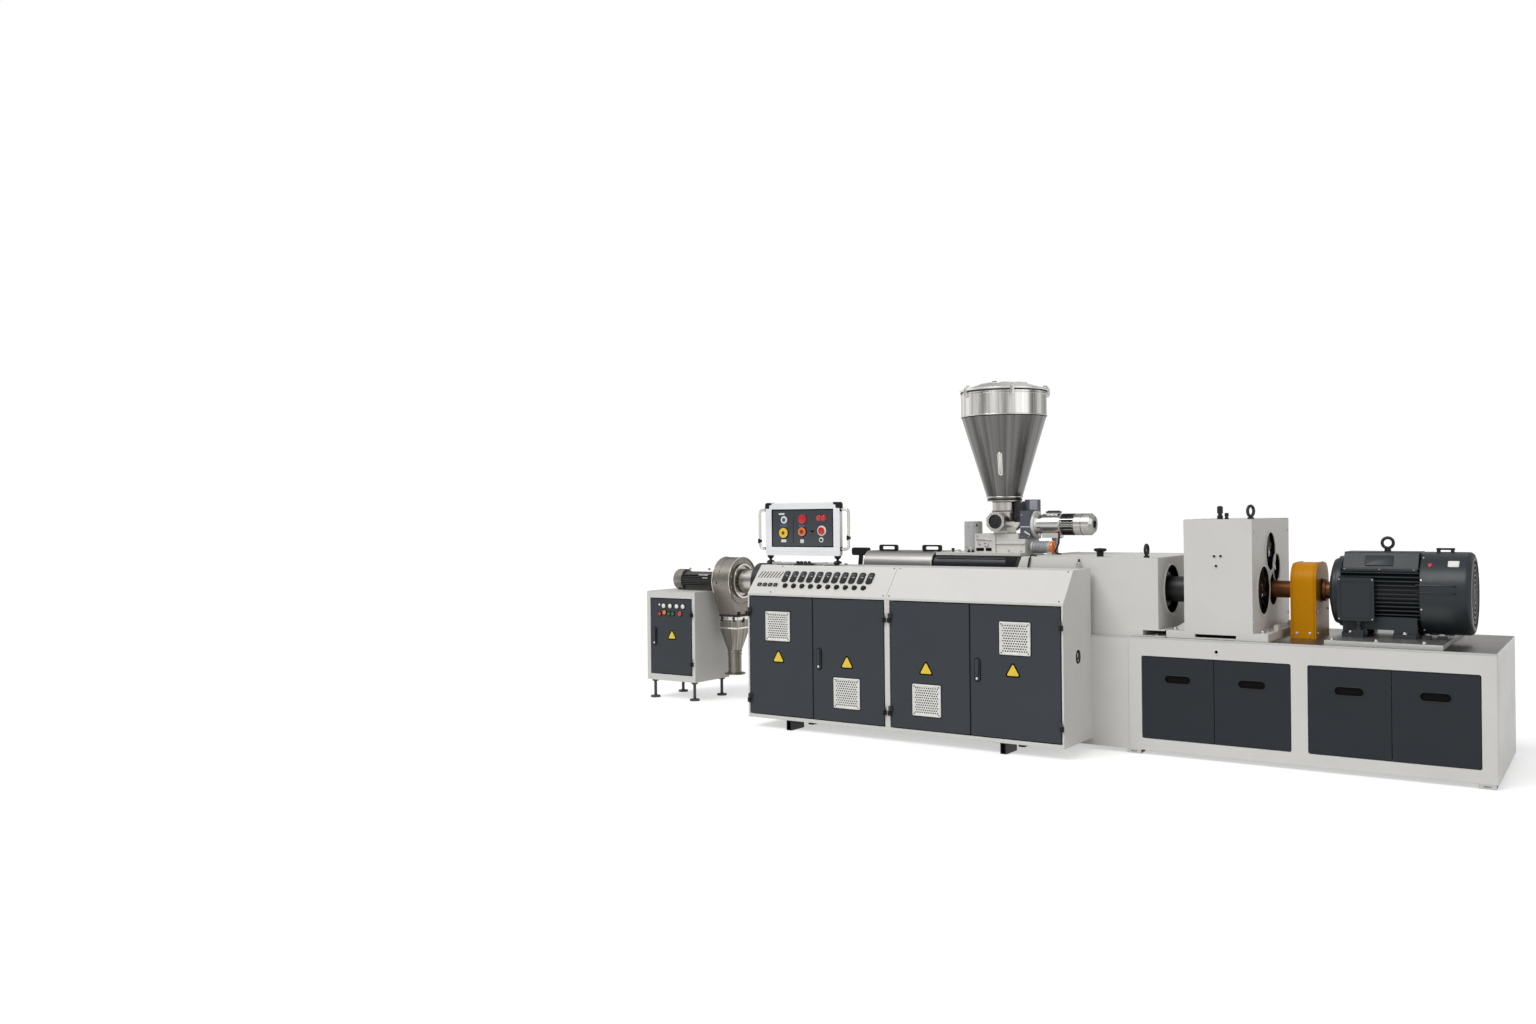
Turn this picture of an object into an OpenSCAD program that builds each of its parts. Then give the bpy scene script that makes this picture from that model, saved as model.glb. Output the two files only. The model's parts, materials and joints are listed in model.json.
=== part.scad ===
// Plastic extruder with a die-face cutter, in millimetres.
// X runs from the die end to the drive end, Y from the front to the back, Z up.
// Distances called "from the drive end" are measured along the machine from the base's right end.
// Front faces look towards -Y. The origin is at the bottom centre of the whole machine's box.

/* [Base] */
// Length of the base
base_l = 4600; // [4500:10:4800]
// Depth of the base
base_d = 1100; // [1060:10:1300]
// Height of the base's sheet-metal housing
base_body_h = 679; // [640:1:760]
// Thickness of the base's top plate
base_top_t = 12; // [6:1:20]
// Height of the feet under the base
base_foot_h = 29; // [20:1:60]
// Side of a square base foot
base_foot_w = 85; // [60:5:140]
// Distance from the drive end to the second row of feet
base_foot_x = 1945; // [1500:5:2400]
// Corner radius of the base housing's vertical edges
base_edge_r = 12; // [4:1:20]
// Width of one panel opening
opening_w = 863; // [700:1:870]
// Height of one panel opening
opening_h = 505; // [400:1:540]
// Height of a panel opening's sill over the housing's bottom
opening_sill = 71; // [60:1:100]
// Corner radius of a panel opening
opening_r = 12; // [8:1:60]
// Distance from the drive end to the first opening
opening_margin = 76; // [40:1:90]
// Width of the post between two openings
opening_post = 89; // [50:1:100]
// Depth of a panel opening
opening_depth = 30; // [26:1:50]
// Thickness of a lift-off panel
panel_t = 24; // [14:1:26]
// Clearance round a lift-off panel
panel_gap = 4; // [2:1:8]
// Length of a panel's grip recess
grip_w = 150; // [100:5:200]
// Height of a panel's grip recess
grip_h = 46; // [30:1:60]
// Distance from a panel's top edge to the middle of its grip
grip_drop = 132; // [50:1:150]
// Distance from the drive end to the round hole in the base's front
base_hole_x = 1443; // [1200:1:1800]
// Distance from the housing's top to the middle of that hole
base_hole_drop = 58; // [40:1:80]
// Radius of the round hole
base_hole_r = 11; // [6:1:16]

/* [Machine axis] */
// Distance from the base's front to the machine's axis
axis_y = 550; // [530:5:600]
// Height of the barrel's and the cutter's axis over the base
barrel_axis_h = 237; // [225:1:300]
// Height of the motor shaft's axis over the base
shaft_axis_h = 280; // [270:1:330]

/* [Main motor] */
// Distance from the drive end to the motor's fan end
motor_x = 150; // [120:5:200]
// Length of the fan cowl
cowl_l = 260; // [200:5:300]
// Outer radius of the fan cowl
cowl_r = 238; // [230:1:250]
// Length of the finned housing
motor_body_l = 420; // [360:5:460]
// Radius of the housing under its fins
motor_core_r = 192; // [170:1:200]
// Outer radius over the fins
motor_fin_r = 222; // [210:1:230]
// Thickness of a cooling fin
fin_t = 7; // [5:0.5:10]
// Pitch of the cooling fins
fin_pitch = 24; // [20:1:30]
// Thickness of the drive-end bell
bell_t = 70; // [50:5:80]
// Radius of the drive-end bell
bell_r = 200; // [180:1:210]
// Thickness of the motor's base plate
rail_t = 26; // [16:1:34]
// Depth of the motor's base plate, front to back
rail_d = 980; // [700:10:1040]
// How far the base plate starts behind the motor's drive end
rail_inset = 40; // [0:5:80]
// How far the base plate runs on under the fan cowl
rail_right = 150; // [60:5:180]
// Half of the motor feet's spread, front to back
motor_foot_y = 230; // [200:5:260]
// Radius of the cowl's rounded edge
cowl_edge_r = 30; // [15:1:36]
// Radius of the air grille in the cowl's end
cowl_grille_r = 196; // [170:1:200]
// Depth of the air grille's recess
cowl_grille_depth = 12; // [6:1:20]
// Height of the top cover over the shaft's axis
motor_cover_h = 238; // [228:1:250]
// Half of the top cover's width at its flange
motor_cover_y = 186; // [170:1:190]
// Length of one motor foot pad
motor_pad_l = 120; // [90:5:150]
// Length of the terminal box
terminal_l = 195; // [160:5:240]
// Height of the terminal box
terminal_h = 250; // [200:5:280]
// How far the terminal box reaches below the shaft's axis
terminal_drop = 157; // [120:1:170]
// How far the terminal box stands out of the fins
terminal_out = 42; // [30:1:60]
// Thickness of the terminal box's lid
terminal_lid_t = 12; // [6:1:16]

/* [Shaft and guard] */
// Radius of the motor shaft
shaft_r = 52; // [40:1:60]
// Running clearance of the shaft in its bores, on the radius
shaft_run_gap = 0.05; // [0.02:0.01:0.1]
// How far the shaft reaches into the motor and the gearbox
shaft_seat = 60; // [30:5:100]
// Clearance of the shaft in the guard's walls, on the radius
guard_hole_gap = 8; // [6:1:15]
// How far the coupling's discs stay inside the guard's ends
coupling_inset = 35; // [20:1:50]
// Thickness of a shaft collar
collar_t = 16; // [8:1:20]
// How far a shaft collar stands out of the shaft
collar_out = 14; // [6:1:20]
// Gap between a shaft collar and the guard
collar_gap = 10; // [6:1:14]
// Distance from the drive end to the guard's right face
guard_x = 961; // [955:1:975]
// Length of the guard along the shaft
guard_l = 143; // [120:1:160]
// Depth of the guard, front to back
guard_d = 380; // [320:5:460]
// Height of the guard
guard_h = 447; // [400:1:500]
// Radius of the guard's upper corners
guard_r = 110; // [60:5:150]
// Sheet thickness of the guard
guard_t = 5; // [3:0.5:8]

/* [Gearbox] */
// Distance from the drive end to the gearbox's right face
gearbox_x = 1243; // [1220:1:1260]
// Length of the gearbox along the machine
gearbox_l = 396; // [380:1:400]
// Distance from the base's front to the gearbox's front
gearbox_front = 40; // [20:5:80]
// Depth of the gearbox
gearbox_d = 930; // [900:10:960]
// Height of the gearbox over its foot
gearbox_h = 670; // [620:5:720]
// Height of the gearbox's foot
gearbox_foot_h = 44; // [30:1:60]
// How far the foot reaches out to the right
foot_right = 85; // [60:5:100]
// How far the foot reaches out to the left
foot_left = 110; // [60:5:120]
// Radius of the large side vents
vent_r = 145; // [100:1:150]
// Radius of the upper side vent
vent_top_r = 118; // [90:1:124]
// Radius of the small side vent behind them
vent_back_r = 85; // [60:1:90]
// Radius of the recess round the motor shaft
shaft_port_r = 98; // [90:1:104]
// Depth of the round side recesses
vent_depth = 40; // [20:1:60]
// Width of the raised ring round a side vent
vent_lip = 10; // [6:1:14]
// Height that a vent ring stands out
vent_lip_t = 6; // [3:1:10]

/* [Distribution box] */
// Distance from the drive end to the distribution box's right face
dist_x = 1796; // [1790:1:1810]
// Length of the distribution box
dist_l = 920; // [880:5:930]
// Length of the slanted corner at its left end
dist_cut_w = 30; // [10:1:50]
// Height of the slanted corner
dist_cut_h = 76; // [40:1:120]
// Height of the distribution box
dist_h = 436; // [400:2:460]
// Height of the channels under the box
dist_foot_h = 44; // [30:1:60]
// Width of a channel under the box
channel_w = 142; // [110:1:160]
// Wall of a channel
channel_t = 6; // [5:1:12]
// How far a channel reaches beyond the box's end
channel_over = 41; // [20:1:60]
// Radius of the round port in its right face
port_r = 150; // [130:1:155]
// Distance from the base's front to the connecting sleeve's axis
sleeve_y = 300; // [280:5:340]
// Radius of the connecting sleeve
sleeve_r = 80; // [60:1:90]
// Radius of the flange at each end of the connecting sleeve
sleeve_flange_r = 110; // [95:1:125]

/* [Barrel] */
// Radius of the barrel
barrel_r = 105; // [90:1:120]
// How far a heater band stands out of the barrel
heater_t = 14; // [8:1:20]
// Length of a heater band
heater_l = 140; // [100:5:160]
// Gap between two heater bands
heater_gap = 26; // [10:2:40]
// Distance from the drive end to the barrel cover's right end
cover_x = 3490; // [3480:5:3500]
// Length of the barrel cover
cover_l = 560; // [500:5:600]
// Depth of the barrel cover
cover_d = 460; // [400:5:500]
// Height of the barrel cover over the base
cover_h = 495; // [470:1:520]
// Radius of the barrel cover's upper edges
cover_r = 90; // [40:5:120]
// Length of a bow handle
bow_l = 150; // [130:2:180]
// Height of a bow handle
bow_h = 46; // [42:1:60]
// Depth of a bow handle
bow_d = 24; // [16:1:32]
// Distance from the machine's axis to the bow handles
handle_off = 100; // [60:5:120]
// Length of the vent trough
trough_l = 600; // [560:5:620]
// Depth of the vent trough
trough_d = 480; // [420:5:520]
// Height of the vent trough over the base
trough_h = 472; // [450:1:500]
// Radius of the vent trough's upper edges
trough_r = 60; // [30:5:80]
// Thickness of the plate on the vent trough
trough_plate_t = 20; // [12:1:30]
// How far the plate reaches beyond the trough's right end
plate_over = 70; // [20:5:90]
// Distance from the drive end to the barrel's die end
barrel_end = 4750; // [4700:5:4800]
// Radius of the die head
die_r = 150; // [130:1:160]
// Length of the die head
die_l = 330; // [280:5:360]
// Radius of the die's adaptor
adaptor_r = 98; // [80:1:110]
// Radius of the adaptor's flange behind the hood's face
adaptor_flange_r = 145; // [142:1:155]
// Thickness of the adaptor's flange
adaptor_flange_t = 14; // [8:1:20]

/* [Hopper and feeder] */
// Distance from the drive end to the hopper's axis
hopper_x = 3030; // [3010:5:3060]
// Outer radius of the hopper's cylinder
hopper_r = 294; // [260:1:310]
// Height of the hopper's cylinder
hopper_band_h = 172; // [120:2:200]
// Height of the hopper's cone
hopper_cone_h = 588; // [500:2:620]
// Outer radius of the hopper's outlet
hopper_out_r = 116; // [90:1:124]
// Wall of the hopper
hopper_wall = 6; // [3:0.5:10]
// Height of the lid's rim
lid_h = 14; // [8:1:30]
// How far the lid's rim overhangs the hopper
lid_over = 10; // [6:1:20]
// Height of the lid's slope over its rim
lid_rise = 40; // [20:1:60]
// Radius of the lid's flat top
lid_flat_r = 165; // [120:5:220]
// Radius of the feeder's neck
neck_r = 84; // [75:1:88]
// Height of the feeder's neck
neck_h = 84; // [70:1:100]
// How far the neck's flange reaches beyond the hopper's outlet
neck_flange_w = 3; // [2:1:25]
// Thickness of the neck's flange
neck_flange_t = 8; // [6:1:16]
// Height of the screw feeder's axis over the trough's plate
feeder_axis_h = 214; // [200:1:230]
// Radius of the screw feeder's housing
feeder_r = 64; // [60:1:66]
// Radius of the feeder motor
feeder_motor_r = 74; // [60:1:80]
// How far the feeder motor's axis lies under the feeder's axis
feeder_motor_drop = 22; // [14:1:26]
// Radius of the feeder motor's flange
feeder_flange_r = 92; // [80:1:94]
// Length of the feeder motor's flange and lantern
lantern_l = 77; // [50:1:100]
// Length of the feeder motor's gear housing
feeder_gear_l = 123; // [110:1:150]
// Length of the feeder motor's ribbed part
feeder_rib_l = 89; // [60:1:110]
// Length of the feeder motor's end cap
feeder_cap_l = 134; // [100:2:150]
// Width of the gear case
case_w = 72; // [60:1:80]
// Width of the gear case's upper part
case_top_w = 134; // [120:1:180]
// Height of the gear case's upper part
case_top_h = 78; // [60:1:80]
// Depth of the gear case
case_d = 190; // [150:5:220]
// How far the gear case stands lower than the feeder
case_drop = 36; // [10:1:50]
// Radius of the round column beside the feeder
post_r = 64; // [50:1:68]
// Height of the round column
post_h = 216; // [180:2:240]

/* [Control cabinet] */
// Distance from the drive end to the cabinet's right side
cabinet_x = 2208; // [2200:2:2240]
// Depth of the control cabinet
cabinet_d = 456; // [400:2:500]
// Thickness of the cabinet's walls
cabinet_wall = 12; // [8:1:20]
// Thickness of the cabinet's floor
cabinet_floor_t = 24; // [12:1:30]
// Width of the post between the two bays
bay_post_w = 37; // [34:1:50]
// Height of the foot tubes under the cabinet
cabinet_foot_h = 70; // [50:1:100]
// Width of a foot tube under the cabinet
cabinet_foot_w = 40; // [30:2:80]
// Distance from the cabinet's left end to its left foot tube
cabinet_foot_left = 315; // [150:5:500]
// Distance from the cabinet's right end to its right foot tube
cabinet_foot_right = 379; // [150:1:500]
// Width of the first door from the left
door_1_w = 520; // [460:5:560]
// Width of the second door
door_2_w = 551; // [500:5:600]
// Width of the third door
door_3_w = 564; // [500:5:600]
// Width of the fourth door
door_4_w = 592; // [540:5:640]
// Height of the cabinet doors
door_h = 817; // [760:1:860]
// Thickness of a door
door_t = 25; // [18:1:30]
// Gap round every door leaf
door_gap = 7; // [7:0.5:9]
// Height of the console's front lip
console_lip_h = 14; // [8:1:30]
// Height of the console's sloping face
console_rise = 193; // [160:1:230]
// Depth of the console's sloping face
console_run = 172; // [140:1:200]
// Distance from the cabinet's left end to the seam in its console
console_seam = 1113; // [900:1:1300]
// Distance from the cabinet's back to the grip in its right side
side_grip_y = 229; // [150:1:300]
// Height of that grip over the ground
side_grip_z = 602; // [400:1:800]
// Height of that grip
side_grip_h = 76; // [60:1:100]
// Width of that grip
side_grip_w = 64; // [24:1:70]
// Depth of that grip
side_grip_depth = 4; // [3:0.5:7.5]
// Width of a controller on the console
controller_w = 48; // [36:1:54]
// Height of a controller on the console
controller_h = 96; // [80:1:100]
// Corner radius of the door leaves
door_r = 8; // [3:1:12]

/* [Hinges and handles] */
// Radius of a door hinge's barrel
hinge_r = 8; // [7:0.5:9]
// Radius of a door hinge's pin
pin_r = 4; // [3:0.5:5]
// Running clearance of a hinge pin, on the radius
pin_run_gap = 0.05; // [0.02:0.01:0.1]
// How far a hinge's axis stands in front of the doors
hinge_out = 14; // [14:0.5:17]
// Height of one hinge
hinge_h = 62; // [50:1:80]
// Gap between a hinge's two knuckles
knuckle_gap = 0.3; // [0.2:0.1:1]
// Distance from a door's lower edge to the middle of its lower hinge
hinge_low = 104; // [80:1:140]
// Distance from a door's upper edge to the middle of its upper hinge
hinge_high = 108; // [80:1:140]
// Height of a swing handle
handle_h = 140; // [110:2:170]
// Width of a swing handle
handle_w = 34; // [26:1:40]
// Distance from a door's free edge to the middle of its handle
handle_inset = 48; // [40:1:70]
// Side of a vent grille's frame
grille_w = 204; // [160:2:240]
// Thickness of a vent grille
grille_t = 5; // [3:0.5:8]

/* [Operator panel] */
// Width of the operator panel
hmi_w = 628; // [540:2:680]
// Height of the operator panel
hmi_h = 374; // [320:2:400]
// Depth of the operator panel
hmi_d = 36; // [30:1:60]
// Distance from the cabinet's left end to the panel's right side
hmi_x = 615; // [612:1:660]
// Gap between the console and the operator panel
hmi_lift = 66; // [50:1:90]
// Width of the operator panel's side frame
hmi_side = 52; // [30:1:70]
// Height of the operator panel's upper frame
hmi_top = 44; // [30:1:60]
// Height of the operator panel's lower frame
hmi_bottom = 60; // [40:1:80]
// Depth of the recess round the operator's screen
hmi_recess = 6; // [3:1:10]
// Radius of a tube handle on the operator panel
tube_r = 9.5; // [5:0.5:10]
// How far a tube handle stands out of the panel's side
tube_out = 62; // [45:1:70]
// Bend radius of a tube handle
tube_bend = 26; // [20:1:40]
// Distance from the panel's lower and upper edges to a tube handle's ends
tube_inset = 48; // [20:1:60]

/* [Cutter] */
// Distance from the drive end to the cutter cabinet's right side
cutter_x = 5570; // [5560:5:5600]
// Width of the cutter cabinet
cutter_w = 500; // [460:5:540]
// Depth of the cutter cabinet
cutter_d = 450; // [420:5:520]
// Distance from the base's front to the cutter cabinet's front
cutter_front = 240; // [200:5:260]
// Gap between the cutter cabinet's top and the cutter motor's fins
cutter_motor_gap = 1; // [1:1:30]
// Thickness of the cutter cabinet's walls
cutter_wall = 15; // [8:1:20]
// Width of the cutter cabinet's door
cutter_door_w = 420; // [380:2:430]
// Height of the cutter cabinet's door
cutter_door_h = 606; // [520:2:610]
// Height of the frame under the cutter's door
cutter_sill = 50; // [40:1:60]
// Height of the frame over the cutter's door
cutter_head = 52; // [40:1:70]
// Width of the frame on the hinge side of the cutter's door
cutter_jamb = 30; // [28:1:34]
// Radius of the cutter motor over its fins
cutter_motor_r = 84; // [70:1:86]
// Length of the cutter motor
cutter_motor_l = 400; // [340:5:420]
// Radius of the cutter motor's neck in the hood
cutter_neck_r = 60; // [40:1:64]
// Distance from the drive end to the cutter hood's open face
hood_x = 5320; // [5300:5:5340]
// Length of the cutter hood
hood_l = 170; // [150:2:200]
// Radius of the cutter hood's drum
hood_r = 190; // [170:1:200]
// Radius of the opening in the hood's face
hood_mouth_r = 125; // [115:1:140]
// Sheet thickness of the hood, the collar and the funnel
hood_t = 5; // [3:0.5:8]
// Width of the hood's outlet, front to back
outlet_w = 170; // [150:2:280]
// Height of the hood's outlet over the ground
outlet_z = 680; // [660:2:700]
// Height of the collar under the hood
collar_h = 112; // [90:2:130]
// Height of the funnel
funnel_h = 178; // [150:2:200]
// Inner radius of the discharge spout
spout_r = 50; // [40:1:55]
// Wall of the discharge spout
spout_wall = 4; // [3:0.5:6]
// Height of the discharge spout
spout_h = 190; // [150:2:220]
// Radius of the spout's flange
spout_flange_r = 85; // [80:1:95]
// Radius of the bolt circle in the spout's flange
spout_bolt_circle = 70; // [66:1:78]
// Radius of a bolt hole in the spout's flange
spout_bolt_r = 5; // [3:0.5:6]

/* [Hidden] */
$fn = 48;
eps = 0.01;

// Heights of the base
base_top = base_foot_h + base_body_h + base_top_t;
deck = base_top;
barrel_z = deck + barrel_axis_h;
shaft_z = deck + shaft_axis_h;

// Width, height and depth of the bolt slot in a base foot, and the foot's wall
foot_slot = [36, 9, 14];
foot_wall = 6;
// How far the distribution box's foot stands out in front
foot_lip = 7;

// Control cabinet, from the left end to the right
bay_1_w = door_1_w + door_2_w + 3 * door_gap;
bay_2_w = door_3_w + door_4_w + 3 * door_gap;
cabinet_l = 2 * cabinet_wall + bay_1_w + bay_post_w + bay_2_w;
cabinet_left = -cabinet_x - cabinet_l;
cabinet_back = 0;
cabinet_front = cabinet_back - cabinet_d;
cabinet_floor_z = cabinet_foot_h + cabinet_floor_t;
door_z = cabinet_floor_z + door_gap;
console_z = door_z + door_h + door_gap;
console_top = console_z + console_lip_h + console_rise;
console_slope = atan2(console_rise, console_run);
console_len = sqrt(pow(console_rise, 2) + pow(console_run, 2));
bay_1_x = cabinet_left + cabinet_wall;
post_x = bay_1_x + bay_1_w;
bay_2_x = post_x + bay_post_w;
door_x = [bay_1_x + door_gap,
      bay_1_x + 2 * door_gap + door_1_w,
      bay_2_x + door_gap,
      bay_2_x + 2 * door_gap + door_3_w];
door_w = [door_1_w, door_2_w, door_3_w, door_4_w];
// Which side each door is hung on: -1 left, 1 right
door_side = [-1, 1, -1, 1];
hinge_y = cabinet_front - hinge_out;
// A hinge leaf ends flush with the cabinet's side
hinge_leaf_w = cabinet_wall + door_gap / 2;
hinge_axis_x = [for (i = [0:3])
  door_side[i] < 0 ? door_x[i] - door_gap / 2 : door_x[i] + door_w[i] + door_gap / 2];
hinge_z = [door_z + hinge_low, door_z + door_h - hinge_high];
// Middle of each vent grille over the door's lower edge
grille_z = [615, 190, 190, 616];
// Middle of each vent grille from the door's left edge
grille_x = [238, 266, 262, 301];

// Operator panel
hmi_right = cabinet_left + hmi_x;
hmi_left = hmi_right - hmi_w;
hmi_z = console_top + hmi_lift;
hmi_front = cabinet_front + console_run + 75;

// Cutter
cutter_left = -cutter_x - cutter_w;
cutter_case_h = cutter_sill + cutter_door_h + cutter_head + 2 * door_gap;
cutter_top = barrel_z - cutter_motor_r - cutter_motor_gap;
cutter_leg_h = cutter_top - cutter_case_h;
cutter_door_x = -cutter_x - cutter_jamb - door_gap - cutter_door_w;
cutter_door_z = cutter_leg_h + cutter_sill + door_gap;
cutter_hinge_x = cutter_door_x + cutter_door_w + door_gap / 2;
cutter_hinge_y = cutter_front - hinge_out;
cutter_hinge_z = [cutter_door_z + hinge_low, cutter_door_z + cutter_door_h - hinge_high];
hood_left = -hood_x - hood_l;
collar_z = outlet_z - collar_h;
funnel_z = collar_z - funnel_h;
spout_z = funnel_z - spout_h;
spout_x = hood_left + hood_l / 2;

// Drive train
motor_right = -motor_x;
cowl_left = motor_right - cowl_l;
motor_left = cowl_left - motor_body_l - bell_t;
gearbox_right = -gearbox_x;
gearbox_left = gearbox_right - gearbox_l;
gearbox_top = deck + gearbox_foot_h + gearbox_h;
// Y and Z of the side vents' middles, and their radii
vents = [[gearbox_front + 258, shaft_z + 5, vent_r],
     [gearbox_front + 435, shaft_z + 235, vent_top_r],
     [gearbox_front + 582, shaft_z + 132, vent_back_r]];
fan_blades = 9;
eye_foot_r = 18;
dist_right = -dist_x;
dist_left = dist_right - dist_l;
dist_top = deck + dist_foot_h + dist_h;

// Barrel and feeder
trough_right = -cover_x + trough_l;
trough_left = -cover_x + 20;
plate_top = deck + trough_h + trough_plate_t;
feeder_z = plate_top + feeder_axis_h;
saddle_z = feeder_z - feeder_r - 20;
case_x = -hopper_x + 155;
feeder_motor_z = feeder_z - feeder_motor_drop;
neck_z = feeder_z + feeder_r;
cone_z = neck_z + neck_h;
band_z = cone_z + hopper_cone_h;
lid_z = band_z + hopper_band_h;
die_left = -barrel_end - die_l;

// The whole machine's box, which sets the origin
machine_left = cutter_left;
machine_front = cabinet_front - hinge_out - hinge_r;
mid_x = machine_left / 2;
mid_y = (machine_front + base_d) / 2;

// Shared shapes

// Moves a piece from the machine's own coordinates to the origin at the box's bottom centre
module place() {
  translate([-mid_x, -mid_y, 0]) children();
}

// A block given by its low corner and its size
module block(at, size) {
  translate(at) cube(size);
}

// A rectangle with rounded corners, from its low corner
module round_rect(w, h, r) {
  translate([r, 0]) square([w - 2 * r, h]);
  translate([0, r]) square([w, h - 2 * r]);
  for (x = [r, w - r], y = [r, h - r]) translate([x, y]) circle(r);
}

// A slot with round ends, centred
module stadium(w, h) {
  square([w - h, h], center = true);
  for (s = [-1, 1]) translate([s * (w - h) / 2, 0]) circle(h / 2);
}

// A cylinder along X, from x to x + l
module rod_x(x, y, z, r, l) {
  translate([x, y, z]) rotate([0, 90, 0]) cylinder(r = r, h = l);
}

// A cylinder along Y, from y to y + l
module rod_y(x, y, z, r, l) {
  translate([x, y, z]) rotate([-90, 0, 0]) cylinder(r = r, h = l);
}

// Extrudes an outline drawn in X and Z towards the back
module to_back(y, l) {
  translate([0, y + l, 0]) rotate([90, 0, 0]) linear_extrude(l) children();
}

// Extrudes an outline drawn in Y and Z along X
module along_x(x, l) {
  translate([x, 0, 0]) rotate([90, 0, 90]) linear_extrude(l) children();
}

// A block with rounded upper edges, seen along X: front at y, bottom at z
module arched(y, z, d, h, r) {
  translate([y, z]) {
    square([d, h - r]);
    translate([r, 0]) square([d - 2 * r, h]);
    for (s = [r, d - r]) translate([s, h - r]) circle(r);
  }
}

// Base

module base_outline() {
  translate([-base_l, 0]) round_rect(base_l, base_d, base_edge_r);
}

// Right end of opening number i
function opening_right(i) = -opening_margin - i * (opening_w + opening_post);

module base_opening_cut(i) {
  translate([opening_right(i) - opening_w, base_foot_h + opening_sill])
    round_rect(opening_w, opening_h, opening_r);
}

module base_frame() {
  color("whitesmoke") place() difference() {
    translate([0, 0, base_foot_h]) linear_extrude(base_body_h) base_outline();
    for (i = [0, 1]) to_back(-1, opening_depth + 1) base_opening_cut(i);
    for (i = [0:3]) to_back(base_d - opening_depth, opening_depth + 1) base_opening_cut(i);
    rod_y(-base_hole_x, -1, base_foot_h + base_body_h - base_hole_drop, base_hole_r, opening_depth);
  }
}

module base_top() {
  color("lightgray") place()
    translate([0, 0, base_foot_h + base_body_h]) linear_extrude(base_top_t) base_outline();
}

// The outline of one of the two panels in opening i: s is 0 for the left panel, 1 for the right
module panel_outline(i, s) {
  half = (opening_w - 3 * panel_gap) / 2;
  x = opening_right(i) - opening_w + panel_gap + s * (half + panel_gap);
  z = base_foot_h + opening_sill + panel_gap;
  h = opening_h - 2 * panel_gap;
  difference() {
    intersection() {
      translate([x, z]) square([half, h]);
      translate([opening_right(i) - opening_w + panel_gap, z])
        round_rect(opening_w - 2 * panel_gap, h, opening_r - panel_gap);
    }
    translate([x + half / 2, z + h - grip_drop]) stadium(grip_w, grip_h);
  }
}

module panel(i, s, front) {
  half = (opening_w - 3 * panel_gap) / 2;
  x = opening_right(i) - opening_w + panel_gap + s * (half + panel_gap);
  z = base_foot_h + opening_sill + opening_h - panel_gap - grip_drop;
  skin = panel_t / 2;
  y = front ? opening_depth - panel_t : base_d - opening_depth;
  to_back(y, panel_t) panel_outline(i, s);
  to_back(front ? opening_depth - skin : y, skin) translate([x + half / 2, z]) stadium(grip_w + 2, grip_h + 2);
}

module base_panels() {
  color("darkslategray") place() {
    for (i = [0, 1], s = [0, 1]) panel(i, s, true);
    for (i = [0:3], s = [0, 1]) panel(i, s, false);
  }
}

// A box-section foot with a bolt slot in its front and a pocket in its right end
module base_foot(x, y) {
  half = base_foot_w / 2;
  difference() {
    block([x - half, y - half, 0], [base_foot_w, base_foot_w, base_foot_h]);
    to_back(y - half - 1, foot_slot[2] + 1) translate([x, base_foot_h / 2]) stadium(foot_slot[0], foot_slot[1]);
    block([x + half - foot_slot[2], y - half + foot_wall, foot_wall],
        [foot_slot[2] + 1, base_foot_w - 2 * foot_wall, base_foot_h - 2 * foot_wall]);
  }
}

module base_feet() {
  inset = base_foot_w / 2 + base_edge_r;
  color("silver") place()
    for (x = [-inset, -base_foot_x, -base_l + inset], y = [inset, base_d - inset]) base_foot(x, y);
}

// Main motor

module motor_rails() {
  color("silver") place()
    block([motor_left + rail_inset, axis_y - rail_d / 2, deck],
        [cowl_left - motor_left - rail_inset + rail_right, rail_d, rail_t]);
}

// Horizontal cooling fins, seen along the shaft
module fin_profile(core_r, fin_r, pitch, t) {
  circle(core_r);
  count = floor(core_r * 0.86 / pitch);
  for (i = [-count:count]) {
    z = i * pitch;
    half = sqrt(fin_r * fin_r - z * z);
    translate([-half, z - t / 2]) square([2 * half, t]);
  }
}

// A revolved form round the machine's shaft from x on: the outline gives radius and distance along X
module on_shaft(x) {
  translate([x, axis_y, shaft_z]) rotate([0, 90, 0]) rotate_extrude() children();
}

// An outline that is the same to the front and back of the motor's axis: half lists distance and height
module both_sides(half, z) {
  last = len(half) - 1;
  polygon(concat(
    [for (p = half) [axis_y - p[0], z + p[1]]],
    [for (i = [last:-1:0]) [axis_y + half[i][0], z + half[i][1]]]));
}

// The slanted top cover on its flange
module motor_cover(x, l) {
  seat = 128;
  rise = motor_cover_h - seat;
  lip = 9;
  along_x(x, l) both_sides([[motor_cover_y, 0], [motor_cover_y, lip], [motor_cover_y - 14, lip + 4],
                [112, rise - 5], [104, rise]], shaft_z + seat);
}

// One row of motor feet, seen along the shaft: s is -1 for the front row, 1 for the back row
module motor_foot_profile(s, z) {
  polygon([for (p = [[motor_foot_y, 0], [motor_foot_y, 22], [194, 30], [184, 118], [140, 130],
             [140, 32], [110, 22], [110, 0]]) [axis_y + s * p[0], z + p[1]]]);
}

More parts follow.
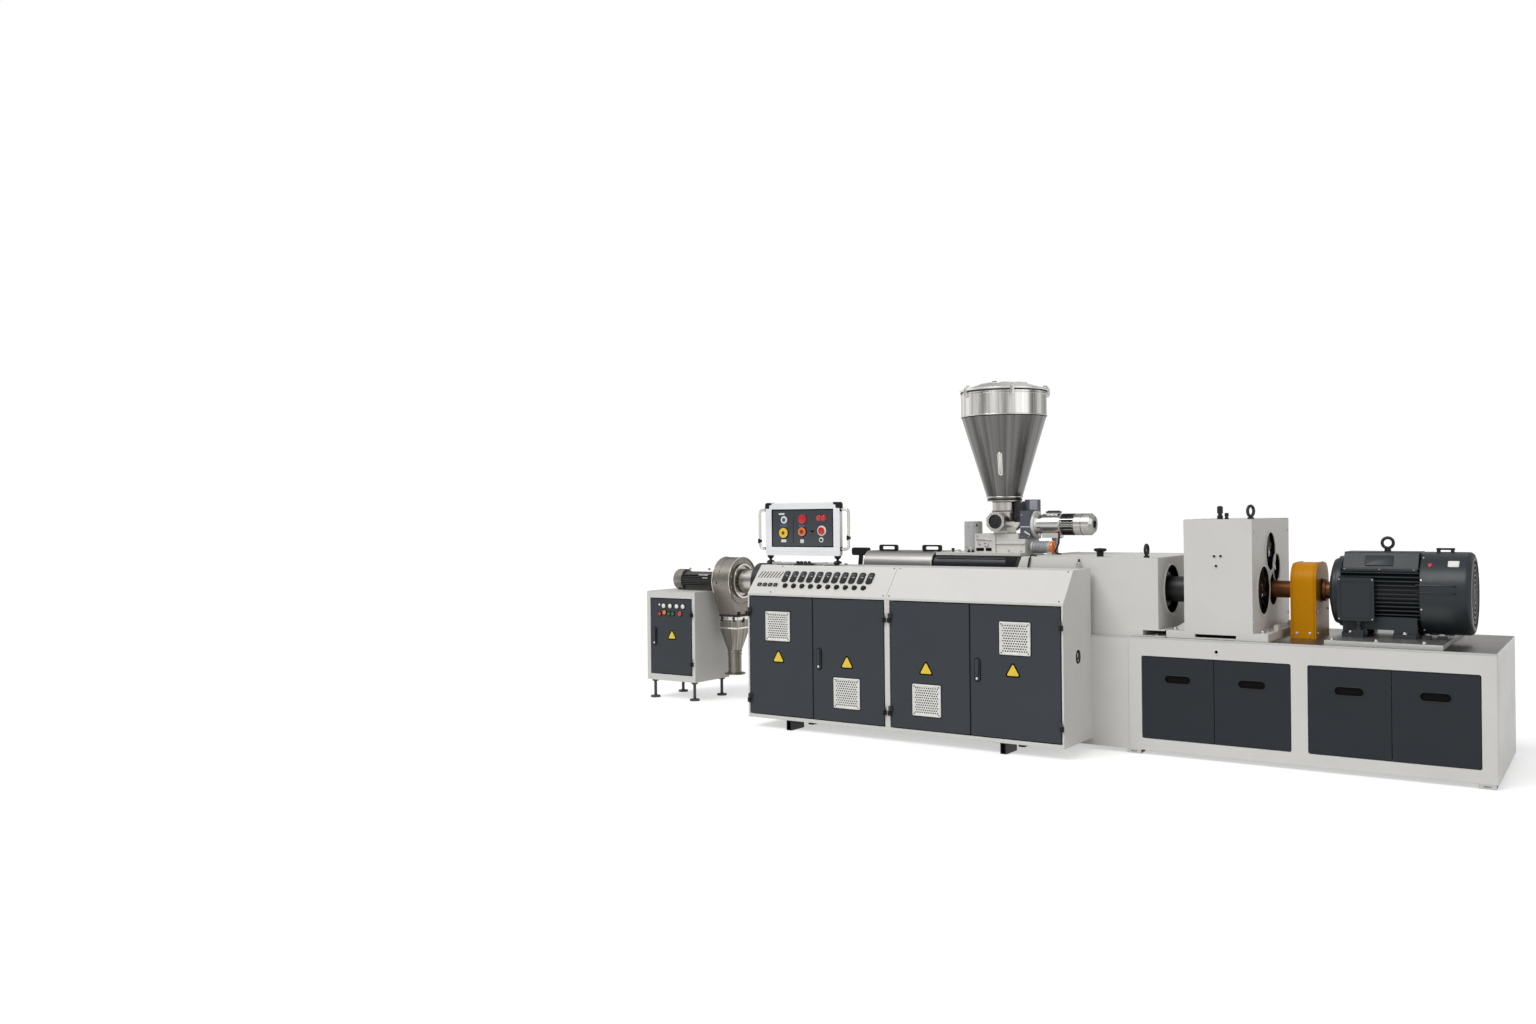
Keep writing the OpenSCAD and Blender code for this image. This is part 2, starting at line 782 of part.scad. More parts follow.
module motor_body() {
  foot_z = deck + rail_t;
  body_x = cowl_left - motor_body_l;
  pad_x = body_x + 15;
  pad_end = cowl_left - 15;
  color("darkslategray") place() difference() {
    union() {
      translate([0, axis_y, shaft_z]) along_x(body_x, motor_body_l)
        fin_profile(motor_core_r, motor_fin_r, fin_pitch, fin_t);
      // Drive-end bell with its flange and its step
      on_shaft(motor_left) polygon([
        [0, 0], [bell_r * 0.6, 0], [bell_r * 0.6, 8], [bell_r - 26, 14], [bell_r - 10, 20], [bell_r - 4, 30],
        [bell_r - 4, bell_t * 0.62], [bell_r + 10, bell_t * 0.68], [bell_r + 10, bell_t + 4],
        [bell_r + 2, bell_t + 10], [0, bell_t + 10]]);
      motor_cover(body_x + 15, motor_body_l - 25);
      // Feet, open between their pads
      difference() {
        for (s = [-1, 1]) along_x(pad_x, pad_end - pad_x) motor_foot_profile(s, foot_z);
        block([pad_x + motor_pad_l, axis_y - motor_foot_y - 1, foot_z - 1],
            [pad_end - pad_x - 2 * motor_pad_l, 2 * motor_foot_y + 2, 46]);
      }
    }
    rod_x(motor_left - 1, axis_y, shaft_z, shaft_r + shaft_run_gap, shaft_seat + 1);
  }
}

module motor_cowl() {
  e = cowl_edge_r;
  depth = cowl_grille_depth;
  color("darkslategray") place() {
    // Shell with a rounded end and a recess for the air grille
    on_shaft(cowl_left) polygon(concat(
      [[0, 0], [cowl_r - 5, 0], [cowl_r, 5]],
      [for (a = [0:15:90]) [cowl_r - e + e * cos(a), cowl_l - e + e * sin(a)]],
      [[cowl_grille_r, cowl_l], [cowl_grille_r, cowl_l - depth], [0, cowl_l - depth]]));
    // Rings and bars of the air grille
    for (r = [26:28:cowl_grille_r]) difference() {
      rod_x(motor_right - depth, axis_y, shaft_z, r + 5, depth - 3);
      rod_x(motor_right - depth - 1, axis_y, shaft_z, r - 5, depth + 2);
    }
    for (a = [0:60:120]) translate([motor_right - depth, axis_y, shaft_z]) rotate([a, 0, 0])
      translate([0, -5, -cowl_grille_r]) cube([depth - 4, 10, 2 * cowl_grille_r]);
  }
}

module motor_terminal_box() {
  y = axis_y - motor_fin_r - terminal_out;
  x = cowl_left - motor_body_l;
  z = shaft_z - terminal_drop;
  seam = 5;
  conduit_x = x + terminal_l * 0.55;
  plug_z = deck + rail_t;
  plug = [54, 29, 46];
  color("darkslategray") place() {
    to_back(y + terminal_lid_t, terminal_out - terminal_lid_t) translate([x + seam, z + seam])
      round_rect(terminal_l - 2 * seam, terminal_h - 2 * seam, 10);
    to_back(y, terminal_lid_t) translate([x, z]) round_rect(terminal_l, terminal_h, 12);
    // Conduit down to a plug on the motor's base plate
    translate([conduit_x, y + 26, plug_z + plug[2]]) cylinder(r = 9, h = z + seam - plug_z - plug[2]);
    translate([conduit_x, y + 26, z - 18]) cylinder(r = 15, h = 18 + seam);
    block([conduit_x - plug[0] / 2, y + 4, plug_z], plug);
    translate([conduit_x, y + 26, plug_z + plug[2]]) cylinder(r = 15, h = 14);
  }
}

module drive_shaft() {
  x = gearbox_right - shaft_seat;
  left = -guard_x - guard_l;
  color("saddlebrown") place() {
    rod_x(x, axis_y, shaft_z, shaft_r, motor_left + shaft_seat - x);
    // Coupling inside the guard, and a collar on each side of it
    rod_x(left + coupling_inset, axis_y, shaft_z, shaft_r + 50, guard_l - 2 * coupling_inset);
    rod_x(left - collar_gap - collar_t, axis_y, shaft_z, shaft_r + collar_out, collar_t);
    rod_x(-guard_x + collar_gap, axis_y, shaft_z, shaft_r + collar_out, collar_t);
  }
}

module coupling_guard() {
  left = -guard_x - guard_l;
  y = axis_y - guard_d / 2;
  color("orange") place() difference() {
    along_x(left, guard_l) arched(y, deck, guard_d, guard_h, guard_r);
    along_x(left + guard_t, guard_l - 2 * guard_t)
      arched(y + guard_t, deck - 1, guard_d - 2 * guard_t, guard_h - guard_t + 1, guard_r - guard_t);
    rod_x(left - 1, axis_y, shaft_z, shaft_r + guard_hole_gap, guard_l + 2);
  }
}

// Gearbox and distribution box

module gearbox() {
  foot_z = deck + gearbox_foot_h;
  rib_t = 18;
  rib_h = 64;
  jack = [26, 60, 34];
  slot = [240, 60, 20];
  color("gainsboro") place() difference() {
    union() {
      block([gearbox_left, gearbox_front, foot_z], [gearbox_l, gearbox_d, gearbox_h]);
      block([gearbox_left - foot_left, gearbox_front, deck],
          [gearbox_l + foot_left + foot_right, gearbox_d, gearbox_foot_h]);
      for (v = vents) rod_x(gearbox_right, v[0], v[1], v[2] + vent_lip, vent_lip_t);
      // Ribs on the left foot and jacking blocks on the right one
      for (y = [gearbox_front + 110, gearbox_front + gearbox_d - 110 - rib_t]) to_back(y, rib_t) polygon([
        [gearbox_left, foot_z], [gearbox_left, foot_z + rib_h], [gearbox_left - foot_left + 12, foot_z]]);
      for (y = [gearbox_front + 250, gearbox_front + gearbox_d - 250 - jack[1]])
        block([gearbox_right + foot_right - jack[0], y, foot_z], jack);
    }
    for (v = vents) rod_x(gearbox_right - vent_depth, v[0], v[1], v[2], vent_depth + vent_lip_t + 1);
    rod_x(gearbox_right - vent_depth, axis_y, shaft_z, shaft_port_r, vent_depth + vent_lip_t + 1);
    rod_x(gearbox_right - shaft_seat - vent_depth, axis_y, shaft_z,
          shaft_r + shaft_run_gap, shaft_seat + vent_depth + 1);
    // Front sight holes
    for (p = [[180, 452], [216, 453], [190, 394]])
      rod_y(gearbox_left + p[0], gearbox_front - 1, foot_z + p[1], 9, 11);
    // Slot in the foot
    block([gearbox_left + 60, gearbox_front - 1, deck + 8], slot);
  }
}

// A bladed fan in a round recess of radius r in a face that looks to +X at x
module fan(x, y, z, r) {
  back = x - vent_depth;
  plate_t = 8;
  rod_x(back, y, z, r, plate_t);
  rod_x(back, y, z, r * 0.26, vent_depth - 12);
  for (k = [0:fan_blades - 1]) translate([back + plate_t - 3, y, z]) rotate([k * 360 / fan_blades, 0, 0])
    translate([0, 0, r * 0.2]) rotate([0, 0, -24]) cube([4, r * 0.4, r * 0.72]);
}

module gearbox_vents() {
  seal_t = 10;
  color("black") place() {
    for (v = vents) fan(gearbox_right, v[0], v[1], v[2]);
    // Seal disc round the motor shaft
    difference() {
      rod_x(gearbox_right - vent_depth, axis_y, shaft_z, shaft_port_r, seal_t);
      rod_x(gearbox_right - vent_depth - 1, axis_y, shaft_z, shaft_r + guard_hole_gap, seal_t + 2);
    }
    // Breathers on the top
    for (b = [[-1466, 200, 17, 82], [-1427, 200, 12, 40]]) translate([b[0], b[1], gearbox_top]) {
      cylinder(r = b[2] * 0.7, h = b[3]);
      cylinder(r = b[2], h = b[3] * 0.3);
      translate([0, 0, b[3] * 0.45]) cylinder(r = b[2], h = b[3] * 0.5);
    }
  }
}

module connecting_sleeve() {
  back = dist_right - vent_depth;
  plate_t = 8;
  flange_t = 18;
  color("black") place() {
    rod_x(back, sleeve_y, shaft_z, sleeve_r, gearbox_left - back);
    rod_x(back, sleeve_y, shaft_z, port_r, plate_t);
    rod_x(back, sleeve_y, shaft_z, sleeve_flange_r, plate_t + 12);
    rod_x(gearbox_left - flange_t, sleeve_y, shaft_z, sleeve_flange_r, flange_t);
    // Ribs of the plate in the port
    for (a = [0:30:330]) translate([back, sleeve_y, shaft_z]) rotate([a, 0, 0])
      translate([0, -4, sleeve_flange_r - 4]) cube([plate_t + 6, 8, port_r - sleeve_flange_r]);
  }
}

// A channel from front to back under the distribution box: its web at x, its flanges towards side s
module foot_channel(x, s) {
  difference() {
    block([s > 0 ? x : x - channel_w, gearbox_front - foot_lip, deck],
        [channel_w, gearbox_d + foot_lip, dist_foot_h]);
    block([s > 0 ? x + channel_t : x - channel_w - 1, gearbox_front - foot_lip - 1, deck + channel_t],
        [channel_w - channel_t + 1, gearbox_d + foot_lip + 2, dist_foot_h - 2 * channel_t]);
  }
}

module distribution_box() {
  z = deck + dist_foot_h;
  right_web = dist_right + channel_over - channel_w;
  left_web = dist_left - channel_over + channel_w;
  color("gainsboro") place() difference() {
    union() {
      block([dist_left, gearbox_front, z], [dist_l, gearbox_d, dist_h]);
      rod_x(dist_right, sleeve_y, shaft_z, port_r + vent_lip, vent_lip_t);
      foot_channel(right_web, 1);
      foot_channel(left_web, -1);
      // Plate between the channels
      block([left_web, gearbox_front - foot_lip, deck],
          [right_web - left_web, channel_t + foot_lip, dist_foot_h]);
    }
    // Slanted corner
    to_back(gearbox_front - 1, gearbox_d + 2) polygon([
      [dist_left, dist_top - dist_cut_h], [dist_left + dist_cut_w, dist_top],
      [dist_left + dist_cut_w, dist_top + 1],
      [dist_left - 1, dist_top + 1], [dist_left - 1, dist_top - dist_cut_h]]);
    rod_x(dist_right - vent_depth, sleeve_y, shaft_z, port_r, vent_depth + vent_lip_t + 1);
  }
}

// A lifting eye on a flat top at z
module lifting_eye(x, y, z, turn) {
  translate([x, y, z]) rotate(turn) {
    cylinder(r = eye_foot_r, h = 14);
    translate([0, 0, 50]) rotate([90, 0, 0]) rotate_extrude() translate([30, 0]) circle(9);
    cylinder(r = 9, h = 24);
  }
}

module lifting_eyes() {
  color("black") place() {
    lifting_eye(gearbox_right - eye_foot_r - 2, gearbox_front + 60, gearbox_top, 70);
    lifting_eye(dist_right - 88, gearbox_front + 60, dist_top, 90);
    lifting_eye(cowl_left - 190, axis_y, shaft_z + motor_cover_h, 0);
  }
}

// Barrel and die

module barrel() {
  open_left = die_left + die_l;
  cover_left = -cover_x - cover_l;
  step = heater_l + heater_gap;
  bands = floor((cover_left - open_left - heater_gap) / step);
  color("dimgray") place() {
    rod_x(open_left, axis_y, barrel_z, barrel_r, dist_left - open_left);
    // Heater bands between the die and the cover, each with its clamping lug at the back
    for (k = [0:bands - 1]) {
      x = open_left + heater_gap + k * step;
      rod_x(x, axis_y, barrel_z, barrel_r + heater_t, heater_l);
      block([x + 20, axis_y + barrel_r + heater_t - 12, barrel_z - 25], [heater_l - 40, 34, 50]);
    }
  }
}

module barrel_cover() {
  x = -cover_x - cover_l;
  y = axis_y - cover_d / 2;
  seam = 2;
  color("silver") place() difference() {
    along_x(x, cover_l) arched(y, deck, cover_d, cover_h, cover_r);
    rod_x(x - 1, axis_y, barrel_z, barrel_r, cover_l + 2);
    // Seams between the cover's three lengths
    for (k = [1, 2]) block([x + k * cover_l / 3, y - 1, deck + cover_h - 2], [seam, cover_d + 2, 3]);
  }
}

// A bow handle along X on a flat top at z
module bow_handle(x, y, z) {
  to_back(y - bow_d / 2, bow_d) translate([x, z]) difference() {
    round_rect(bow_l, bow_h, 14);
    translate([bow_l / 2, bow_h / 2]) stadium(bow_l - 40, bow_h - 24);
  }
}

module cover_handles() {
  cover_left = -cover_x - cover_l;
  y = axis_y - handle_off;
  grip_z = deck + cover_h - 35;
  grip_x = cover_left - 20;
  // The stem stands on the heater band under it
  stem_z = barrel_z + sqrt(pow(barrel_r + heater_t, 2) - pow(y + 10 - axis_y, 2)) + 0.3;
  color("black") place() {
    bow_handle(-cover_x - bow_l + 14, y, deck + cover_h);
    bow_handle(cover_left + 67, y, deck + cover_h);
    // Grip on the barrel clamp, with its slanted stem
    to_back(y - bow_d / 2, bow_d) translate([grip_x - bow_l, grip_z]) round_rect(bow_l, 58, 16);
    to_back(y - 10, 20) polygon([
      [grip_x - bow_l / 2 - 14, grip_z + 4], [grip_x - bow_l / 2 + 14, grip_z + 4],
      [grip_x - bow_l / 2 - 2, stem_z], [grip_x - bow_l / 2 - 30, stem_z]]);
    // Knob on the distribution box
    translate([dist_left + 485, gearbox_front + 200, dist_top]) {
      cylinder(r = 22, h = 30);
      translate([0, 0, 30]) rotate_extrude() polygon([[0, 0], [26, 0], [40, 8], [42, 16], [34, 22], [0, 25]]);
    }
  }
}

module vent_trough() {
  right = trough_right - 10;
  top = deck + trough_h;
  front = axis_y - trough_d / 2;
  color("darkslategray") place() difference() {
    union() {
      // Round-edged shell with a canoe-shaped left end
      intersection() {
        along_x(trough_left, right - trough_left) arched(front, deck, trough_d, trough_h, trough_r);
        to_back(front - 1, trough_d + 2) polygon([
          [trough_left + 34, deck], [right, deck], [right, top], [trough_left + 22, top],
          [trough_left + 8, top - 6], [trough_left, top - 22], [trough_left, top - 66],
          [trough_left + 34, top - 130]]);
      }
      // Slanted end piece under the plate
      to_back(front, trough_d) polygon([
        [right + plate_over, top], [right - 24, top], [right - 4, deck],
        [right + 32, deck], [right + 32, top - 100]]);
    }
    rod_x(trough_left - 1, axis_y, barrel_z, barrel_r, trough_l + plate_over + 2);
    // Slots in the front
    for (p = [[60, 100], [190, 130]])
      block([trough_left + p[0], front - 1, top - trough_r - 16], [p[1], 13, 12]);
  }
}

// A revolved form round the barrel's axis from x on: the outline gives radius and distance along X
module on_barrel(x) {
  translate([x, axis_y, barrel_z]) rotate([0, 90, 0]) rotate_extrude() children();
}

module die_head() {
  flange_t = 52;
  waist_r = die_r * 0.86;
  cap_t = 40;
  color("dimgray") place() on_barrel(die_left) polygon([
    [0, 0], [die_r - 6, 0], [die_r, 6], [die_r, cap_t], [waist_r, cap_t], [waist_r, die_l - 2 * flange_t - 6],
    [die_r, die_l - 2 * flange_t - 6], [die_r, die_l - flange_t - 3], [waist_r, die_l - flange_t - 3],
    [waist_r, die_l - flange_t], [die_r, die_l - flange_t], [die_r, die_l], [0, die_l]]);
}

module die_adaptor() {
  face = -hood_x - hood_t;
  color("silver") place() {
    rod_x(face - adaptor_flange_t, axis_y, barrel_z, adaptor_r, die_left - face + adaptor_flange_t);
    rod_x(face - adaptor_flange_t, axis_y, barrel_z, adaptor_flange_r, adaptor_flange_t);
  }
}

// Hopper and feeder

module feed_block() {
  depth = 240;
  step_x = case_x - 4;
  right = case_x + case_w - 25;
  color("whitesmoke") place() {
    // Plate on the trough
    block([trough_left, axis_y - trough_d / 2 + 40, deck + trough_h],
        [trough_right - 10 + plate_over - trough_left, trough_d - 80, trough_plate_t]);
    // Feed housing, stepped down under the gear case
    to_back(axis_y - depth / 2, depth) polygon([
      [-hopper_x - 175, plate_top], [right, plate_top], [right, saddle_z - case_drop],
      [step_x, saddle_z - case_drop], [step_x, saddle_z], [-hopper_x - 175, saddle_z]]);
    // Post and rail on its front
    block([-hopper_x - 38, axis_y - depth / 2 - 14, plate_top], [24, 16, saddle_z - plate_top]);
    block([-hopper_x - 14, axis_y - depth / 2 - 8, plate_top + 58], [right + hopper_x + 14, 10, 12]);
    // Knob on the plate
    translate([-hopper_x - 312, axis_y - 100, plate_top]) {
      cylinder(r = 22, h = 8);
      translate([0, 0, 8]) cylinder(r = 15, h = 12);
    }
  }
}

module round_column() {
  color("lightgray") place() translate([-hopper_x - 243, axis_y, plate_top]) {
    cylinder(r = post_r + 3, h = 10);
    cylinder(r = post_r, h = post_h - 8);
    translate([0, 0, post_h - 8]) cylinder(r = post_r - 4, h = 8);
  }
}

module feeder_body() {
  reach = 140;
  ring_t = 22;
  ring_over = 6;
  flat_r = feeder_r + 2;
  front = axis_y - reach;
  color("silver") place() {
    translate([-hopper_x, axis_y, feeder_z]) cylinder(r = neck_r, h = feeder_r + neck_h);
    translate([-hopper_x, axis_y, neck_z - 4]) cylinder(r = neck_r + 5, h = 10);
    translate([-hopper_x, axis_y, cone_z - neck_flange_t])
      cylinder(r = hopper_out_r + neck_flange_w, h = neck_flange_t);
    rod_y(-hopper_x, front, feeder_z, feeder_r, 2 * reach);
    rod_y(-hopper_x, axis_y + reach - 12, feeder_z, feeder_r + 10, 12);
    // Octagonal front flange round a recessed disc
    difference() {
      translate([-hopper_x, front - ring_t, feeder_z]) rotate([-90, 22.5, 0])
        cylinder(r = flat_r / cos(22.5), h = ring_t + ring_over, $fn = 8);
      rod_y(-hopper_x, front - ring_t - 1, feeder_z, flat_r - 14, 11);
    }
    block([-hopper_x - 50, axis_y - 80, saddle_z], [100, 160, 60]);
  }
}

module feeder_gear_case() {
  top = cone_z + 3;
  bottom = saddle_z - case_drop;
  link_d = 88;
  link_h = 142;
  link_gap = 6;
  top_d = 84;
  y = axis_y - case_d / 2;
  seam = 3;
  color("slategray") place() {
    difference() {
      to_back(y, case_d) translate([case_x, bottom]) square([case_w, top - bottom]);
      // Top block, at the front only
      to_back(y, top_d) {
        translate([case_x, top - case_top_h]) square([case_top_w - 20, case_top_h]);
        translate([case_x + case_top_w - 40, top - case_top_h]) round_rect(40, case_top_h, 18);
      }
      // Seam above the case's foot
      block([case_x - 1, y - 1, bottom + 80], [case_w + 2, 3, seam]);
    }
    // Coupling housing between the neck and the case
    block([-hopper_x + neck_r + link_gap, axis_y - link_d / 2, feeder_z - 4],
        [case_x + hopper_x - neck_r - link_gap, link_d, link_h]);
  }
}

module feeder_motor() {
  x = case_x + case_w;
  gear_x = x + lantern_l;
  rib_x = gear_x + feeder_gear_l;
  cap_x = rib_x + feeder_rib_l;
  r = feeder_motor_r;
  color("silver") place() {
    difference() {
      translate([x, axis_y, feeder_motor_z]) rotate([0, 90, 0]) rotate_extrude() polygon([
        [0, 0], [feeder_flange_r, 0], [feeder_flange_r, 18], [feeder_flange_r - 12, 18], [r - 8, 34],
        [r - 8, lantern_l - 12], [r, lantern_l - 12],
        [r, lantern_l + feeder_gear_l - 8], [r - 8, lantern_l + feeder_gear_l],
        [r - 14, lantern_l + feeder_gear_l], [r - 14, cap_x - x], [r - 6, cap_x - x], [r, cap_x - x + 8],
        [r, cap_x - x + feeder_cap_l - 20], [r - 18, cap_x - x + feeder_cap_l], [0, cap_x - x + feeder_cap_l]]);
      // Round recess in the end cap
      rod_x(cap_x + feeder_cap_l - 8, axis_y, feeder_motor_z, r * 0.42, 9);
    }
    // Ribs
    for (a = [0:15:345]) translate([rib_x - 4, axis_y, feeder_motor_z]) rotate([a, 0, 0])
      translate([0, -2, r - 22]) cube([feeder_rib_l + 8, 4, 18]);
    // Terminal box on top
    block([gear_x + 20, axis_y - 34, feeder_motor_z + r - 12], [76, 68, 24]);
    // Saddle down to the distribution box's bracket
    block([gear_x - 10, axis_y - 46, feeder_motor_z - r - 18], [118, 92, 40]);
  }
}

module vacuum_motor() {
  r = 42;
  length = 136;
  x = dist_left - 84;
  y = axis_y - 60;
  z = dist_top + r + 8;
  strut_x = dist_left + dist_cut_w;
  bracket_w = 30;
  bracket_top = feeder_motor_z - feeder_motor_r - 18;
  color("gray") place() {
    rod_x(x, y, z, r - 6, length);
    rod_x(x, y, z, r, 14);
    for (k = [0:9]) rod_x(x + 22 + k * 10, y, z, r, 4);
    // Round cap
    rod_x(x + length, y, z, r - 4, 16);
    block([strut_x, y - 30, dist_top], [36, 60, 20]);
    // Bracket from the distribution box up to the feeder motor's saddle
    block([strut_x, axis_y + 4, dist_top], [bracket_w, 40, bracket_top - dist_top]);
  }
}

module hopper_shell() {
  color("silver") place() translate([-hopper_x, axis_y, cone_z]) rotate_extrude() polygon([
    [hopper_out_r, 0], [hopper_r, hopper_cone_h], [hopper_r, hopper_cone_h + hopper_band_h],
    [hopper_r - hopper_wall, hopper_cone_h + hopper_band_h], [hopper_r - hopper_wall, hopper_cone_h],
    [hopper_out_r - hopper_wall, 0]]);
}

module hopper_lid() {
  rim_r = hopper_r + lid_over;
  top = lid_h + lid_rise;
  color("silver") place() translate([-hopper_x, axis_y, lid_z]) rotate_extrude() polygon([
    [0, 0], [rim_r - 3, 0], [rim_r, 3], [rim_r, lid_h - 3], [rim_r - 3, lid_h],
    [hopper_r - 8, lid_h], [lid_flat_r, top], [0, top]]);
}

// Control cabinet

module cabinet_floor() {
  color("gainsboro") place()
    block([cabinet_left, cabinet_front, cabinet_foot_h], [cabinet_l, cabinet_d, cabinet_floor_t]);
}

module cabinet_back() {
  color("gainsboro") place()
    block([cabinet_left + cabinet_wall, cabinet_back - cabinet_wall, cabinet_floor_z],
        [cabinet_l - 2 * cabinet_wall, cabinet_wall, console_z - cabinet_floor_z]);
}

// The fixed half of a door hinge on its carrier's front face, towards side s of the axis
module hinge_fixed(x, y, z, s) {
  half = (hinge_h - knuckle_gap) / 2;
  translate([x, y, z - hinge_h / 2]) {
    cylinder(r = hinge_r, h = half);
    cylinder(r = pin_r, h = hinge_h - 2);
    translate([s > 0 ? 0 : -hinge_leaf_w, 0, 0]) cube([hinge_leaf_w, hinge_out, half]);
  }
}

// The moving half of a door hinge on the door's front face, away from side s
module hinge_moving(x, y, z, s) {
  half = (hinge_h - knuckle_gap) / 2;
  translate([x, y, z + knuckle_gap / 2]) difference() {
    union() {
      cylinder(r = hinge_r, h = half);
      translate([s > 0 ? -hinge_leaf_w : 0, 0, 0]) cube([hinge_leaf_w, hinge_out, half]);
    }
    translate([0, 0, -1]) cylinder(r = pin_r + pin_run_gap, h = half + 2);
  }
}

module cabinet_sides() {
  h = console_z - cabinet_floor_z;
  color("gainsboro") place() {
    block([cabinet_left, cabinet_front, cabinet_floor_z], [cabinet_wall, cabinet_d, h]);
    block([post_x, cabinet_front, cabinet_floor_z], [bay_post_w, cabinet_d - cabinet_wall, h]);
    difference() {
      block([-cabinet_x - cabinet_wall, cabinet_front, cabinet_floor_z], [cabinet_wall, cabinet_d, h]);
      // Oval grip in the right side
      along_x(-cabinet_x - side_grip_depth, side_grip_depth + 1)
        translate([cabinet_back - side_grip_y, side_grip_z]) rotate(90) stadium(side_grip_h, side_grip_w);
    }
  }
}

module hinge_blocks() {
  color("black") place() {
    for (i = [0:3], z = hinge_z) hinge_fixed(hinge_axis_x[i], hinge_y, z, door_side[i]);
    for (z = cutter_hinge_z) hinge_fixed(cutter_hinge_x, cutter_hinge_y, z, 1);
  }
}

module cabinet_feet() {
  wall = 5;
  pocket = 40;
  length = 160;
  front = cabinet_front + 8;
  back = cabinet_back - 12 - length;
  color("black") place()
    for (x = [cabinet_left + cabinet_foot_left,
              -cabinet_x - cabinet_foot_right - cabinet_foot_w])
      for (y = [front, back]) difference() {
        block([x, y, 0], [cabinet_foot_w, length, cabinet_foot_h]);
        for (end = [y - 1, y + length - pocket])
          block([x + wall, end, wall], [cabinet_foot_w - 2 * wall, pocket + 1, cabinet_foot_h - 2 * wall]);
      }
}

module cabinet_console() {
  louvres = 8;
  color("whitesmoke") place() difference() {
    along_x(cabinet_left, cabinet_l) polygon([
      [cabinet_front, console_z], [cabinet_front, console_z + console_lip_h],
      [cabinet_front + console_run, console_top], [cabinet_back, console_top], [cabinet_back, console_z]]);
    // Seam between the console's instrument panel and its blank cover
    on_slope(cabinet_left + console_seam, 0) translate([0, 2, -2]) cube([3, console_len - 4, 4]);
    // Louvres at the left end
    for (k = [0:louvres - 1]) on_slope(cabinet_left + 34 + k * 25, console_len - 88)
      translate([0, 0, -12]) linear_extrude(14) rotate(72) stadium(62, 9);
  }
}

// The door leaf number i with its hinge knuckles
module cabinet_door(i) {
  color("dimgray") place() {
    to_back(cabinet_front, door_t) translate([door_x[i], door_z]) round_rect(door_w[i], door_h, door_r);
    for (z = hinge_z) hinge_moving(hinge_axis_x[i], hinge_y, z, door_side[i]);
    if (door_side[i] > 0) swing_handle(door_x[i] + handle_inset, cabinet_front, door_z + 410);
  }
}

// A swing handle on a face at y: a round-ended plate, the lever on it and a lock at its foot
module swing_handle(x, y, z) {
  plate_t = 6;
  lever = [handle_h * 0.72, handle_w * 0.62, 10];
  lock_r = handle_w * 0.26;
  to_back(y - plate_t, plate_t) translate([x, z]) rotate(90) stadium(handle_h, handle_w);
  to_back(y - plate_t - lever[2], lever[2])
    translate([x, z + (handle_h - lever[0]) / 2 - 6]) rotate(90) stadium(lever[0], lever[1]);
  rod_y(x, y - plate_t - 6, z - handle_h / 2 + handle_w / 2, lock_r, 6);
}

module cabinet_door_1() { cabinet_door(0); }
module cabinet_door_2() { cabinet_door(1); }
module cabinet_door_3() { cabinet_door(2); }
module cabinet_door_4() { cabinet_door(3); }

// The vent grille on door i: a frame round a staggered field of square holes
module door_grille(i) {
  x = door_x[i] + grille_x[i] - grille_w / 2;
  z = door_z + grille_z[i] - grille_w / 2;
  rim = 16;
  rows = 11;
  pitch = (grille_w - 2 * rim) / rows;
  hole = pitch * 0.56;
  depth = grille_t - 2;
  color("white") place() {
    to_back(cabinet_front - 2, 2) translate([x, z]) round_rect(grille_w, grille_w, 8);
    to_back(cabinet_front - grille_t, depth) translate([x, z]) difference() {
      round_rect(grille_w, grille_w, 8);
      for (row = [0:rows - 1], col = [0:rows - 1 - row % 2])
        translate([rim + (col + 0.5 + 0.5 * (row % 2)) * pitch, rim + (row + 0.5) * pitch])
          square(hole, center = true);
    }
  }
}

module door_grille_1() { door_grille(0); }
module door_grille_2() { door_grille(1); }
module door_grille_3() { door_grille(2); }
module door_grille_4() { door_grille(3); }

// Puts its children on the console's sloping face, s up the slope from its lower edge
module on_slope(x, s) {
  translate([x, cabinet_front, console_z + console_lip_h]) rotate([console_slope, 0, 0])
    translate([0, s, 0]) children();
}

module console_instruments() {
  pitch = 68;
  row_drop = 105;
  color("black") place() {
    // Controllers in the upper row
    for (k = [0:10]) on_slope(cabinet_left + 262 + k * pitch, console_len - row_drop)
      translate([-controller_w / 2, -controller_h / 2, 0]) linear_extrude(7)
        round_rect(controller_w, controller_h, 17);
    // Round and square buttons in the lower row
    for (k = [0:9]) on_slope(cabinet_left + 290 + k * (pitch + 2), 72) {
      cylinder(r = 20, h = 6);
      cylinder(r = 15, h = 14);
    }
    for (k = [0:3]) on_slope(cabinet_left + 70 + k * 45, 78)
      translate([-16, -14, 0]) linear_extrude(8) round_rect(32, 28, 5);
  }
}

// Operator panel

// A quarter bend of the tube in the XZ plane round the origin: sx and sz name its quadrant
module tube_elbow(sx, sz) {
  d = tube_bend + tube_r + 1;
  intersection() {
    rotate([90, 0, 0]) rotate_extrude() translate([tube_bend, 0]) circle(tube_r);
    translate([sx > 0 ? 0 : -d, -tube_r - 1, sz > 0 ? 0 : -d]) cube([d, 2 * tube_r + 2, d]);
  }
}

